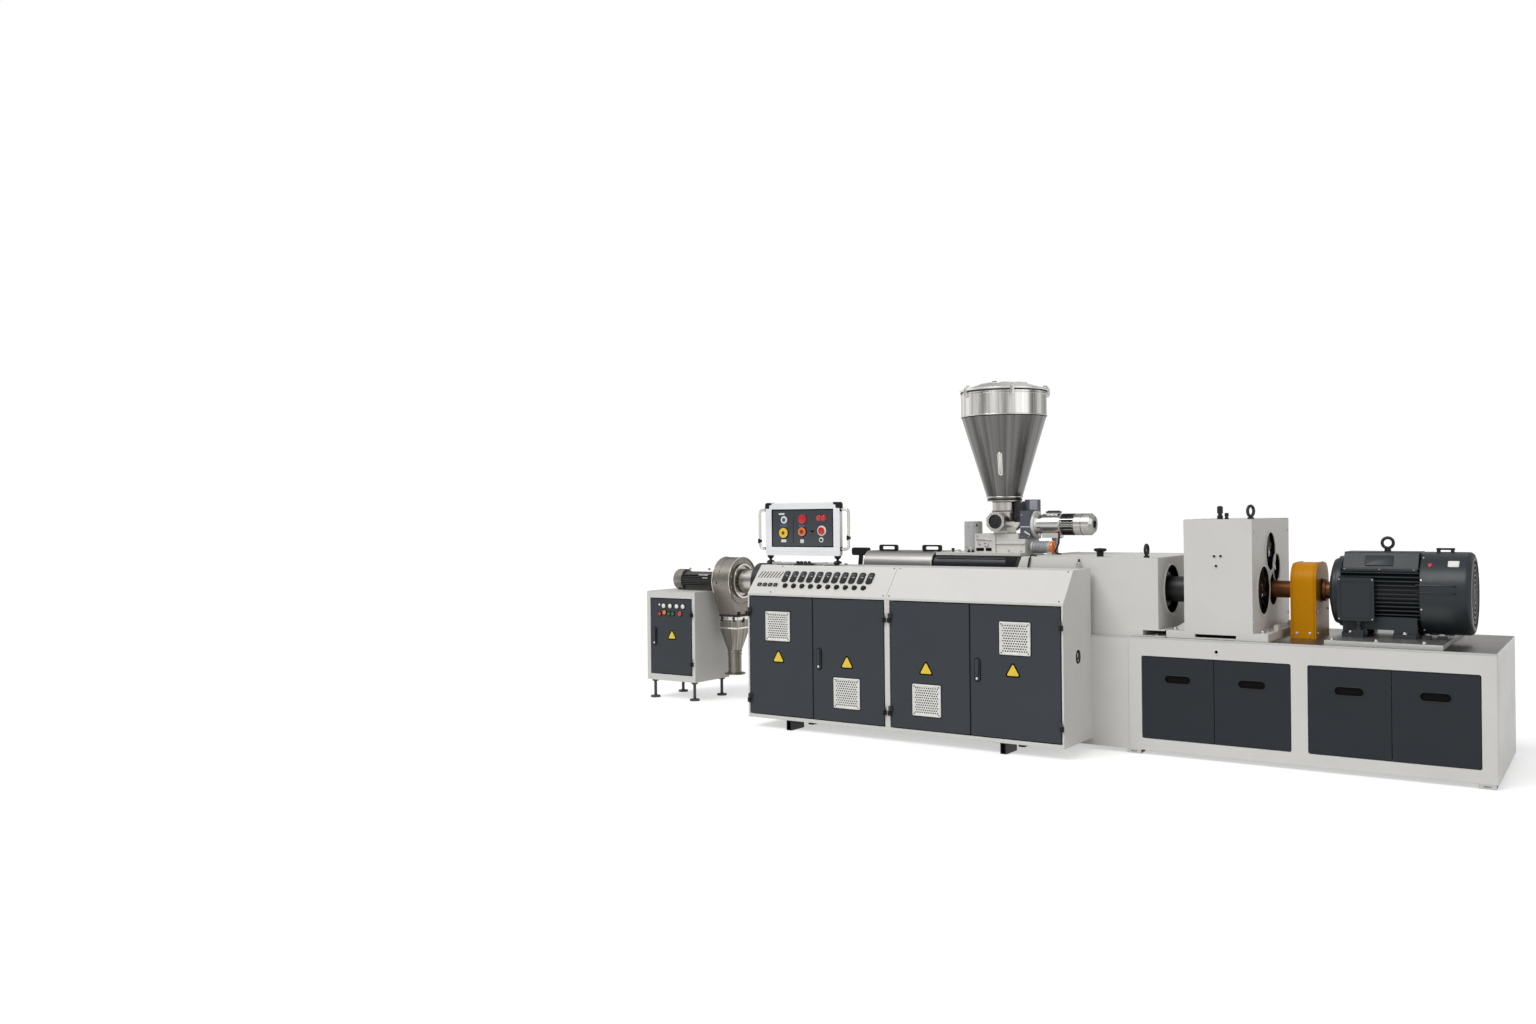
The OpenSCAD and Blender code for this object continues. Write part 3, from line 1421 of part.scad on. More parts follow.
// A bent tube handle that leaves the face at x towards side s, between the heights z0 and z1
module tube_handle(x, y, z0, z1, s) {
  straight = tube_out - tube_bend;
  mid = x + s * straight;
  for (z = [z0, z1]) rod_x(s > 0 ? x : mid, y, z, tube_r, straight);
  translate([mid, y, z0 + tube_bend]) tube_elbow(s, -1);
  translate([mid, y, z1 - tube_bend]) tube_elbow(s, 1);
  translate([x + s * tube_out, y, z0 + tube_bend]) cylinder(r = tube_r, h = z1 - z0 - 2 * tube_bend);
}

module operator_panel() {
  y = hmi_front + hmi_d / 2 - 2;
  color("silver") place() difference() {
    union() {
      to_back(hmi_front, hmi_d) translate([hmi_left, hmi_z]) round_rect(hmi_w, hmi_h, 14);
      tube_handle(hmi_left, y, hmi_z + tube_inset, hmi_z + hmi_h - tube_inset, -1);
      tube_handle(hmi_right, y, hmi_z + tube_inset, hmi_z + hmi_h - tube_inset, 1);
    }
    to_back(hmi_front - 1, hmi_recess + 1) translate([hmi_left + hmi_side, hmi_z + hmi_bottom])
      square([hmi_w - 2 * hmi_side, hmi_h - hmi_top - hmi_bottom]);
    // Groove along the lower frame
    block([hmi_left - 1, hmi_front - 1, hmi_z + hmi_bottom * 0.42], [hmi_w + 2, 4, 3]);
  }
}

module operator_screen() {
  gap = 1;
  color("darkslategray") place()
    to_back(hmi_front + hmi_recess - 3, 3) translate([hmi_left + hmi_side + gap, hmi_z + hmi_bottom + gap])
      square([hmi_w - 2 * hmi_side - 2 * gap, hmi_h - hmi_top - hmi_bottom - 2 * gap]);
}

// An hourglass foot of height h
module hourglass(h) {
  rotate_extrude() polygon([
    [0, 0], [12, 0], [12, h * 0.16], [28, h * 0.2], [30, h * 0.28], [24, h * 0.42], [9, h * 0.52],
    [9, h * 0.62], [24, h * 0.84], [24, h], [0, h]]);
}

module operator_stand() {
  y = hmi_front + hmi_d / 2;
  inset = 30;
  bar_r = 7;
  color("black") place() {
    for (x = [hmi_left + inset, hmi_right - inset]) translate([x, y, console_top]) hourglass(hmi_lift);
    rod_x(hmi_left + inset, y, console_top + bar_r, bar_r, hmi_w - 2 * inset);
  }
}

// Cutter

module cutter_cabinet() {
  iw = cutter_door_w + 2 * door_gap;
  ih = cutter_door_h + 2 * door_gap;
  color("gainsboro") place() {
    difference() {
      block([cutter_left, cutter_front, cutter_leg_h], [cutter_w, cutter_d, cutter_case_h]);
      block([cutter_left + cutter_wall, cutter_front + door_t + 5, cutter_leg_h + cutter_wall],
          [cutter_w - 2 * cutter_wall, cutter_d - door_t - 5 - cutter_wall, cutter_case_h - 2 * cutter_wall]);
      block([cutter_door_x - door_gap, cutter_front - 1, cutter_door_z - door_gap], [iw, cutter_d / 2, ih]);
    }
  }
}

module cutter_door() {
  color("dimgray") place() {
    block([cutter_door_x, cutter_front, cutter_door_z], [cutter_door_w, door_t, cutter_door_h]);
    for (z = cutter_hinge_z) hinge_moving(cutter_hinge_x, cutter_hinge_y, z, 1);
    swing_handle(cutter_door_x + 40, cutter_front, cutter_door_z + 300);
  }
}

module cutter_legs() {
  color("dimgray") place()
    for (x = [cutter_left + 45, -cutter_x - 45], y = [cutter_front + 45, cutter_front + cutter_d - 45])
      translate([x, y, 0]) {
        cylinder(r = 40, h = 14);
        cylinder(r = 12, h = cutter_leg_h);
        translate([0, 0, cutter_leg_h - 16]) cylinder(r = 26, h = 16);
      }
}

module cutter_motor() {
  left = -cutter_x - cutter_motor_l - 10;
  cowl = 90;
  foot = [cutter_motor_l - 130, 110, barrel_z - cutter_top - 40];
  plate = [cutter_motor_l - 130, 160, 10];
  r = cutter_motor_r;
  color("darkslategray") place() {
    translate([0, axis_y, barrel_z]) along_x(left + cowl, cutter_motor_l - cowl)
      fin_profile(r - 16, r, 15, 5);
    on_barrel(left) polygon([
      [0, 0], [r * 0.7, 0], [r * 0.7, 5], [r - 8, 5], [r, 14], [r, cowl], [0, cowl]]);
    rod_x(-cutter_x - 10, axis_y, barrel_z, cutter_neck_r, hood_left + cutter_x + 10);
    // Terminal box on the back and foot on the cabinet
    block([left + 150, axis_y + r - 6, barrel_z - 40], [110, 40, 86]);
    block([left + 110, axis_y - foot[1] / 2, cutter_top], foot);
    block([left + 110, axis_y - plate[1] / 2, cutter_top], plate);
  }
}

// The hood's outline seen along its axis: a drum that runs into a square outlet; grow widens it
module hood_profile(grow) {
  r = hood_r + grow;
  w = outlet_w / 2 + grow;
  drop = barrel_z - outlet_z;
  // The side runs from the outlet's edge to where it touches the drum
  reach = sqrt(w * w + drop * drop);
  touch = acos(r / reach) - atan2(drop, w);
  translate([axis_y, barrel_z]) circle(r);
  translate([axis_y, barrel_z]) polygon([
    [-w, -drop], [w, -drop], [r * cos(touch), r * sin(touch)], [-r * cos(touch), r * sin(touch)]]);
}

module cutter_hood() {
  drop = barrel_z - outlet_z;
  rim_t = 6;
  color("silver") place() difference() {
    union() {
      along_x(hood_left, hood_l) hood_profile(0);
      // Raised rims round the face and round its mouth
      rod_x(-hood_x, axis_y, barrel_z, hood_r, rim_t);
      rod_x(-hood_x, axis_y, barrel_z, hood_mouth_r + 12, rim_t + 8);
    }
    difference() {
      rod_x(-hood_x, axis_y, barrel_z, hood_r - 7, rim_t + 1);
      rod_x(-hood_x - 1, axis_y, barrel_z, hood_mouth_r + 12, rim_t + 10);
    }
    along_x(hood_left + hood_t, hood_l - 2 * hood_t) hood_profile(-hood_t);
    rod_x(-hood_x - 30, axis_y, barrel_z, hood_mouth_r, 60);
    rod_x(hood_left - 1, axis_y, barrel_z, cutter_neck_r + 1, 31);
    block([hood_left + hood_t, axis_y - outlet_w / 2 + hood_t, outlet_z - 1],
        [hood_l - 2 * hood_t, outlet_w - 2 * hood_t, drop / 2]);
  }
}

// The collar's rectangle, inset by t, from z to z + h
module collar_form(t, z, h) {
  translate([hood_left + t, axis_y - outlet_w / 2 + t, z]) cube([hood_l - 2 * t, outlet_w - 2 * t, h]);
}

// A loft from the collar's rectangle to a circle of radius r at the funnel's foot, inset by t
module funnel_form(t, r) {
  hull() {
    collar_form(t, collar_z, eps);
    translate([spout_x, axis_y, funnel_z]) cylinder(r = r, h = eps, $fn = 32);
  }
}

module discharge_funnel() {
  color("silver") place() difference() {
    union() {
      collar_form(0, collar_z, collar_h);
      funnel_form(0, spout_r + spout_wall);
    }
    collar_form(hood_t, collar_z, collar_h + 1);
    funnel_form(hood_t, spout_r);
    translate([spout_x, axis_y, funnel_z - 1]) cylinder(r = spout_r * 0.98, h = 3, $fn = 32);
  }
}

module discharge_spout() {
  color("silver") place() translate([spout_x, axis_y, spout_z]) difference() {
    union() {
      cylinder(r = spout_r + spout_wall, h = spout_h);
      cylinder(r = spout_flange_r, h = 10);
    }
    translate([0, 0, -1]) cylinder(r = spout_r, h = spout_h + 2);
    for (a = [45:90:315]) rotate(a) translate([spout_bolt_circle, 0, -1]) cylinder(r = spout_bolt_r, h = 12);
  }
}

base_frame();
base_top();
base_panels();
base_feet();
motor_rails();
motor_body();
motor_cowl();
motor_terminal_box();
drive_shaft();
coupling_guard();
gearbox();
gearbox_vents();
connecting_sleeve();
distribution_box();
lifting_eyes();
barrel();
barrel_cover();
cover_handles();
vent_trough();
die_head();
die_adaptor();
feed_block();
round_column();
feeder_body();
feeder_gear_case();
feeder_motor();
vacuum_motor();
hopper_shell();
hopper_lid();
cabinet_floor();
cabinet_back();
cabinet_sides();
hinge_blocks();
cabinet_feet();
cabinet_console();
cabinet_door_1();
cabinet_door_2();
cabinet_door_3();
cabinet_door_4();
door_grille_1();
door_grille_2();
door_grille_3();
door_grille_4();
console_instruments();
operator_panel();
operator_screen();
operator_stand();
cutter_cabinet();
cutter_door();
cutter_legs();
cutter_motor();
cutter_hood();
discharge_funnel();
discharge_spout();
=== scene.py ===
"""Looks of the plastic extruder: finishes, small fittings, floor, lights and camera.

Everything is in metres, in the row frame: X runs towards the drive end, Y towards the back, Z up.
"""
import json
import math

import bmesh
import bpy
from mathutils import Matrix, Vector


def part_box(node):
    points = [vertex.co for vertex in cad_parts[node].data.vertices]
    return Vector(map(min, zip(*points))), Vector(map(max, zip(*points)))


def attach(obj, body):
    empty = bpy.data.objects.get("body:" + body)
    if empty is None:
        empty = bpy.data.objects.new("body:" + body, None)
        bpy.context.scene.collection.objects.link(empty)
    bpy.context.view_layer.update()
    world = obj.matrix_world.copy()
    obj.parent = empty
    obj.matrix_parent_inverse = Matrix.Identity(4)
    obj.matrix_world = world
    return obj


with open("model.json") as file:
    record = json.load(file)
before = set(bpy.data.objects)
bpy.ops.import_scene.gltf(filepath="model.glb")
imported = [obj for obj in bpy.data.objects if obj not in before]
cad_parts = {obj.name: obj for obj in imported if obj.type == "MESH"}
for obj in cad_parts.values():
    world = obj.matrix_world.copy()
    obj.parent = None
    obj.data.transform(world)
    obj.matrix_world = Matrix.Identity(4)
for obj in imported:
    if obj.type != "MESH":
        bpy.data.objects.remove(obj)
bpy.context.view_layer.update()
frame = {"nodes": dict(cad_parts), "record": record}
nodes = frame["nodes"]

X, Y, Z = Vector((1, 0, 0)), Vector((0, 1, 0)), Vector((0, 0, 1))
WHITE = (1, 1, 1, 1)

# Camera, fitted to the photograph's perspective
EYE = Vector((3.65, -7.841, 1.5))
YAW, PITCH, ROLL = math.radians(35.094), math.radians(0.063), math.radians(-0.598)
LENS_MM, SENSOR_MM = 29.062, 36.0

# Light: the sky's level on matte surfaces, its bands of (turn, level) in glossy ones, and the floor
SKY_LEVEL = 0.44
SKY_BANDS = ((0.0, 0.9), (0.1, 0.25), (0.2, 1.0), (0.33, 0.95), (0.4, 0.3), (0.46, 0.7), (0.53, 0.3),
             (0.62, 0.7), (0.7, 0.2), (0.78, 1.0), (0.9, 0.35), (1.0, 0.9))
FLOOR_MATTE, FLOOR_SHADED, FLOOR_GLOW, FLOOR_HALF = 0.7, 0.62, 0.52, 60.0


# Materials

looks = {}


def linear(r, g, b):
    """An sRGB colour from 0 to 255 as Blender's linear colour."""
    def channel(c):
        c /= 255
        return c / 12.92 if c <= 0.04045 else ((c + 0.055) / 1.055) ** 2.4
    return (channel(r), channel(g), channel(b), 1.0)


class Graph:
    """The node graph of a material or a world, with one call for each node."""

    def __init__(self, name, world=False):
        self.name, self.block = name, (bpy.data.worlds if world else bpy.data.materials).new(name)
        self.block.use_nodes = True
        self.tree = self.block.node_tree
        self.tree.nodes.clear()
        self.coords = self.add("ShaderNodeTexCoord")

    def add(self, kind, inputs=None, **settings):
        node = self.tree.nodes.new(kind)
        for key, value in settings.items():
            setattr(node, key, value)
        for key, value in (inputs or {}).items():
            self.put(node.inputs[key], value)
        return node

    def put(self, socket, value):
        if isinstance(value, bpy.types.NodeSocket):
            self.tree.links.new(value, socket)
        else:
            socket.default_value = value

    def noise(self, scale, detail=3.0, stretch=(1, 1, 1), roughness=0.55):
        place = self.add("ShaderNodeMapping", {"Vector": self.coords.outputs["Object"], "Scale": stretch})
        return self.add("ShaderNodeTexNoise", {"Vector": place.outputs[0], "Scale": scale, "Detail": detail,
                                               "Roughness": roughness}).outputs["Fac"]

    def spread(self, value, low, high, source=(0.3, 0.7)):
        """Maps a value between the source's limits to the range from low to high."""
        node = self.add("ShaderNodeMapRange", {"Value": value, "From Min": source[0], "From Max": source[1],
                                               "To Min": low, "To Max": high})
        return node.outputs[0]

    def math(self, operation, a, b=0.0):
        return self.add("ShaderNodeMath", {0: a, 1: b}, operation=operation).outputs[0]

    def tint(self, colour, factor):
        """The colour times a factor that varies over the surface."""
        grey = self.add("ShaderNodeCombineColor", {0: factor, 1: factor, 2: factor}).outputs[0]
        node = self.add("ShaderNodeMix", {"Factor": 1.0, 6: colour, 7: grey}, data_type="RGBA",
                        blend_type="MULTIPLY")
        return node.outputs[2]

    def bump(self, height, strength, distance, normal):
        return self.add("ShaderNodeBump", {"Height": height, "Strength": strength, "Distance": distance,
                                           "Normal": normal}).outputs[0]

    def rounded(self, radius):
        return self.add("ShaderNodeBevel", {"Radius": radius}, samples=4).outputs[0]

    def surface(self, **inputs):
        """Ends the graph with a principled shader and lists the look by its name."""
        shader = self.add("ShaderNodeBsdfPrincipled", {k.replace("_", " "): v for k, v in inputs.items()})
        self.add("ShaderNodeOutputMaterial", {0: shader.outputs[0]})
        looks[self.name] = self.block


def paint(name, rgb, roughness=0.4, peel=0.05, mottle=0.03, edge=0.0025, coat=0.0, shine=0.5):
    """Sprayed or powder-coated paint: orange peel, a slight mottle and soft edges."""
    g = Graph(name)
    shade = g.spread(g.noise(1.7, 5.0), 1 - mottle, 1 + mottle)
    dust = g.spread(g.noise(9.0, 8.0, roughness=0.7), 1 - mottle / 2, 1 + mottle / 3)
    rough = g.spread(g.noise(5.0, 6.0), roughness - 0.05, roughness + 0.07)
    normal = g.bump(g.noise(420.0, 2.0), peel, 0.0006, g.rounded(edge))
    g.surface(Base_Color=g.tint(g.tint(linear(*rgb), shade), dust), Roughness=rough, Normal=normal,
              Coat_Weight=coat, Coat_Roughness=0.25, Specular_IOR_Level=shine)


def plastic(name, rgb, roughness=0.5, grain=0.12, edge=0.0015, shine=0.5):
    """Moulded plastic with a fine spark-eroded grain."""
    g = Graph(name)
    colour = g.tint(linear(*rgb), g.spread(g.noise(30.0, 4.0), 0.92, 1.08))
    rough = g.spread(g.noise(60.0, 4.0), roughness - 0.06, roughness + 0.06)
    normal = g.bump(g.noise(1500.0, 2.0), grain, 0.0003, g.rounded(edge))
    g.surface(Base_Color=colour, Roughness=rough, Normal=normal, Specular_IOR_Level=shine)


def brushed(name, rgb, roughness=0.3, along=(1, 60, 60), depth=0.12, streak=0.12, edge=0.0015):
    """Ground or brushed metal, with its lines along the axis that is stretched least."""
    g = Graph(name)
    lines = g.noise(8.0, 5.0, stretch=along)
    colour = g.tint(linear(*rgb), g.spread(lines, 1 - streak, 1 + streak * 0.6))
    cloud = g.spread(g.noise(4.0, 4.0), -0.03, 0.05)
    rough = g.math("ADD", g.spread(lines, roughness - 0.05, roughness + 0.08), cloud)
    normal = g.bump(g.noise(22.0, 3.0, stretch=along), depth, 0.0003, g.rounded(edge))
    g.surface(Base_Color=colour, Metallic=1.0, Roughness=rough, Normal=normal)


def rolled(name, rgb, centre, roughness=0.24, streak=0.4, bands=5.0, painted_shade_below=-10.0, dark=0.3):
    """Sheet rolled about an upright axis: vertical streaks that run round it, and painted shade under a
    height, which stands in for dark surroundings reflected in the lower sheet.
    """
    g = Graph(name)
    place = g.add("ShaderNodeVectorMath", {0: g.coords.outputs["Object"], 1: centre}, operation="SUBTRACT")
    x, y, z = g.add("ShaderNodeSeparateXYZ", {0: place.outputs[0]}).outputs[:3]
    turned = g.add("ShaderNodeCombineXYZ", {0: g.math("MULTIPLY", g.math("ARCTAN2", y, x), bands),
                                            1: g.math("MULTIPLY", z, 0.35)}).outputs[0]
    wide = g.add("ShaderNodeTexNoise", {"Vector": turned, "Scale": 1.0, "Detail": 2.0}).outputs["Fac"]
    fine = g.add("ShaderNodeTexNoise", {"Vector": turned, "Scale": 11.0, "Detail": 4.0}).outputs["Fac"]
    shade = g.math("MULTIPLY", g.spread(wide, 1 - streak, 1.12), g.spread(fine, 0.88, 1.06))
    # Painted shade: under the given height the colour is darkened
    lower = g.math("MULTIPLY", g.math("LESS_THAN", z, painted_shade_below), 1 - dark)
    colour = g.tint(linear(*rgb), g.math("MULTIPLY", shade, g.math("SUBTRACT", 1.0, lower)))
    g.surface(Base_Color=colour, Metallic=1.0, Roughness=g.spread(fine, roughness - 0.06, roughness + 0.1),
              Normal=g.bump(fine, 0.12, 0.0006, g.rounded(0.002)))


def enamel(name, rgb, roughness=0.22):
    """Glossy lamps, buttons and lenses."""
    g = Graph(name)
    colour = g.tint(linear(*rgb), g.spread(g.noise(90.0, 3.0), 0.94, 1.04))
    rough = g.spread(g.noise(40.0, 3.0), roughness - 0.04, roughness + 0.06)
    g.surface(Base_Color=colour, Roughness=rough, Normal=g.rounded(0.0008), Coat_Weight=0.6,
              Coat_Roughness=0.08)


def upright_axis(node):
    """The vertical line through the middle of a node's box, at floor level."""
    lo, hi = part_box(node)
    return Vector(((lo.x + hi.x) / 2, (lo.y + hi.y) / 2, 0.0))


hopper_lo, hopper_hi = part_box("hopper_shell")
hopper_axis, spout_axis = upright_axis("hopper_shell"), upright_axis("discharge_spout")
# Under this band the hopper's cone gets painted shade
HOPPER_BAND = 0.176  # the bright part of the hopper's wall under its rim

# The record's slots
paint("white_paint", (214, 213, 209), 0.42)
paint("grey_top", (196, 196, 194), 0.3, coat=0.2)
paint("panel_grey", (37, 42, 47), 0.42, peel=0.08, shine=0.25)
paint("foot_steel", (70, 70, 70), 0.55, peel=0.15, mottle=0.1)
brushed("plate_steel", (196, 196, 192), 0.36)
paint("motor_paint", (37, 43, 47), 0.4, peel=0.1, mottle=0.06, coat=0.1, shine=0.3)
brushed("shaft_steel", (120, 78, 52), 0.42, along=(60, 60, 1))
paint("guard_paint", (194, 130, 0), 0.36, peel=0.06, mottle=0.05, shine=0.1)
paint("black_paint", (19, 19, 20), 0.4, peel=0.08)
plastic("black_plastic", (14, 14, 15), 0.42, shine=0.3)
brushed("dark_steel", (62, 63, 66), 0.4, streak=0.2)
brushed("stainless", (196, 192, 186), 0.27)
paint("grey_paint", (182, 183, 184), 0.4)
paint("slate_paint", (78, 84, 96), 0.4)
brushed("bright_steel", (206, 205, 202), 0.22, along=(1, 40, 40), depth=0.05, streak=0.06)
paint("door_paint", (55, 59, 64), 0.38, peel=0.07, mottle=0.04, shine=0.3)
plastic("grille_white", (232, 231, 226), 0.5)
brushed("aluminium_frame", (243, 244, 246), 0.46, streak=0.04)
enamel("screen_glass", (50, 56, 64), 0.2)

# Single nodes whose finish differs from their slot's
# The hopper's cone under the band gets painted shade, a painted reflection of dark surroundings
rolled("hopper_steel", (243, 240, 236), hopper_axis, 0.22, 0.5, 6.0, hopper_hi.z - HOPPER_BAND, 0.22)
rolled("funnel_steel", (158, 153, 144), spout_axis, streak=0.62, bands=4.0)
plastic("fan_black", (12, 12, 13), 0.35)
brushed("cover_satin", (158, 157, 155), 0.38, streak=0.05)
brushed("hood_steel", (144, 139, 131), 0.32, along=(30, 30, 1), streak=0.25)
paint("cutter_grey", (62, 62, 61), 0.4, peel=0.1)
brushed("lid_steel", (240, 239, 236), 0.3, streak=0.05)
NODE_LOOKS = {"hopper_shell": "hopper_steel", "discharge_funnel": "funnel_steel",
              "discharge_spout": "funnel_steel", "gearbox_vents": "fan_black", "barrel_cover": "cover_satin",
              "cutter_hood": "hood_steel", "hopper_lid": "lid_steel", "cutter_motor": "cutter_grey"}

for part in frame["record"]["subparts"]:
    mesh = nodes[part["node"]].data
    mesh.materials.clear()
    mesh.materials.append(looks[NODE_LOOKS.get(part["node"], part["material_slot"])])

# Fittings
brushed("zinc", (196, 195, 190), 0.3, along=(20, 20, 20), streak=0.08)
# Near-black matte plastic for real black parts, and also the painted shade in holes, recesses and gaps
plastic("gap_black", (7, 7, 8), 0.7, shine=0.12)
paint("deep_black", (14, 15, 16), 0.5)
brushed("deck_steel", (150, 148, 143), 0.3, along=(1, 30, 30), streak=0.06)
plastic("rubber", (26, 26, 27), 0.6, grain=0.2)
plastic("pale", (226, 226, 222), 0.45)
paint("lilac", (146, 148, 160), 0.36)
brushed("mirror_steel", (224, 221, 214), 0.16, streak=0.05)
paint("oxide_red", (128, 28, 34), 0.5)
enamel("signal_yellow", (238, 205, 40), 0.4)
LENSES = {"lens_white": ((238, 238, 232), 0.2), "lens_red": ((206, 22, 26), 0.2),
          "lens_dark_red": ((120, 20, 14), 0.25), "lens_yellow": ((240, 205, 50), 0.25),
          "lens_orange": ((232, 120, 42), 0.22), "lens_green": ((30, 92, 60), 0.22),
          "lens_blue": ((58, 92, 128), 0.25), "glass_dark": ((16, 18, 20), 0.12)}
for lens, (rgb, roughness) in LENSES.items():
    enamel(lens, rgb, roughness)

# The slot that stands for each look, where the two names differ
SLOT_OF = {"zinc": "plate_steel", "gap_black": "black_plastic", "deep_black": "panel_grey",
           "deck_steel": "grey_top", "rubber": "black_plastic", "pale": "white_paint", "lilac": "grey_paint",
           "mirror_steel": "stainless", "hood_steel": "stainless", "oxide_red": "shaft_steel",
           "signal_yellow": "guard_paint", **dict.fromkeys(LENSES, "screen_glass")}


# Places and forms for the fittings

base_lo, base_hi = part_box("base_frame")
END_X, FRONT_Y = base_hi.x, base_lo.y


def at(x, y, z):
    """A place measured from the base's right end, its front and the floor."""
    return Vector((END_X + x, FRONT_Y + y, z))


class Face:
    """A flat place to build on: u to the right, v up and w out of the surface."""

    def __init__(self, origin, u, v):
        self.origin, self.u, self.v = Vector(origin), Vector(u).normalized(), Vector(v).normalized()
        self.w = self.u.cross(self.v)

    def point(self, u, v, w=0.0):
        return self.origin + self.u * u + self.v * v + self.w * w

    def moved(self, u, v, w=0.0):
        return Face(self.point(u, v, w), self.u, self.v)

    def turned(self, degrees):
        a = math.radians(degrees)
        u = self.u * math.cos(a) + self.v * math.sin(a)
        return Face(self.origin, u, self.w.cross(u))

    def corners(self, u, v):
        """The four places that lie u to the sides and v above and below."""
        return [self.moved(du, dv) for du in (-u, u) for dv in (-v, v)]

    def around(self, count, radius, first=0.0):
        """Places spaced evenly on a circle, from the angle first."""
        turns = [math.radians(first + 360 * k / count) for k in range(count)]
        return [self.moved(radius * math.cos(a), radius * math.sin(a)) for a in turns]


def facing(u, v):
    """A maker of faces with these directions, from a point or from x, y and z."""
    return lambda *place: Face(place[0] if len(place) == 1 else place, u, v)


front, right, left, back, top = facing(X, Z), facing(Y, Z), facing(-Y, Z), facing(-X, Z), facing(X, Y)


def shell(axis, radius):
    """A maker of faces on a lying tube: x from the base's end, and an angle from the front upwards."""
    def place(x, degrees):
        a = math.radians(degrees)
        out = Vector((0, -math.cos(a), math.sin(a)))
        return Face(Vector((END_X + x, axis.y, axis.z)) + out * radius, X, out.cross(X))
    return place


def rect(w, h, r=0.0, steps=4):
    """A rectangle round the middle, with corners of radius r."""
    if r <= 0:
        return [(-w / 2, -h / 2), (w / 2, -h / 2), (w / 2, h / 2), (-w / 2, h / 2)]
    points = []
    for cx, cy, start in ((w / 2 - r, -h / 2 + r, -90), (w / 2 - r, h / 2 - r, 0),
                          (-w / 2 + r, h / 2 - r, 90), (-w / 2 + r, -h / 2 + r, 180)):
        for i in range(steps + 1):
            a = math.radians(start + 90 * i / steps)
            points.append((cx + r * math.cos(a), cy + r * math.sin(a)))
    return points


def stadium(w, h):
    return rect(w, h, min(w, h) / 2 - 1e-5, 8)


def disc(r, n=24):
    return [(r * math.cos(2 * math.pi * i / n), r * math.sin(2 * math.pi * i / n)) for i in range(n)]


def triangle(side, r, steps=4):
    """A triangle that stands on its base, with rounded corners."""
    points = []
    reach = side / math.sqrt(3) - 2 * r
    for corner in (-150, -30, 90):
        a = math.radians(corner)
        for i in range(steps + 1):
            b = math.radians(corner - 60 + 120 * i / steps)
            points.append((reach * math.cos(a) + r * math.cos(b), reach * math.sin(a) + r * math.sin(b)))
    return points


def inset(outline, d):
    """The outline moved inwards by d."""
    out = []
    for i, (x, y) in enumerate(outline):
        (x0, y0), (x1, y1) = outline[i - 1], outline[(i + 1) % len(outline)]
        n = []
        for ax, ay in ((x - x0, y - y0), (x1 - x, y1 - y)):
            size = math.hypot(ax, ay) or 1.0
            n.append((-ay / size, ax / size))
        k = 1 + n[0][0] * n[1][0] + n[0][1] * n[1][1]
        out.append((x + d * (n[0][0] + n[1][0]) / k, y + d * (n[0][1] + n[1][1]) / k))
    return out


def arc(centre, radius, start, end, steps=8, across=Y):
    """Points on an upright arc, from one angle to another."""
    turns = [math.radians(start + (end - start) * i / steps) for i in range(steps + 1)]
    return [Vector(centre) + across * (radius * math.cos(t)) + Z * (radius * math.sin(t)) for t in turns]


def hoop(x, lo, hi, radius, over, foot, steps):
    """A path over a box with rounded upper edges, at x: over outside it, and foot above its lower edge."""
    low, high = lo.z + foot, hi.z - radius
    return [Vector((x, lo.y - over, low)), Vector((x, lo.y - over, high)),
            *arc((x, lo.y + radius, high), radius + over, 180, 90, steps),
            *arc((x, hi.y - radius, high), radius + over, 90, 0, steps), Vector((x, hi.y + over, low))]


def new_object(name, data):
    obj = bpy.data.objects.new(name, data)
    bpy.context.scene.collection.objects.link(obj)
    return obj


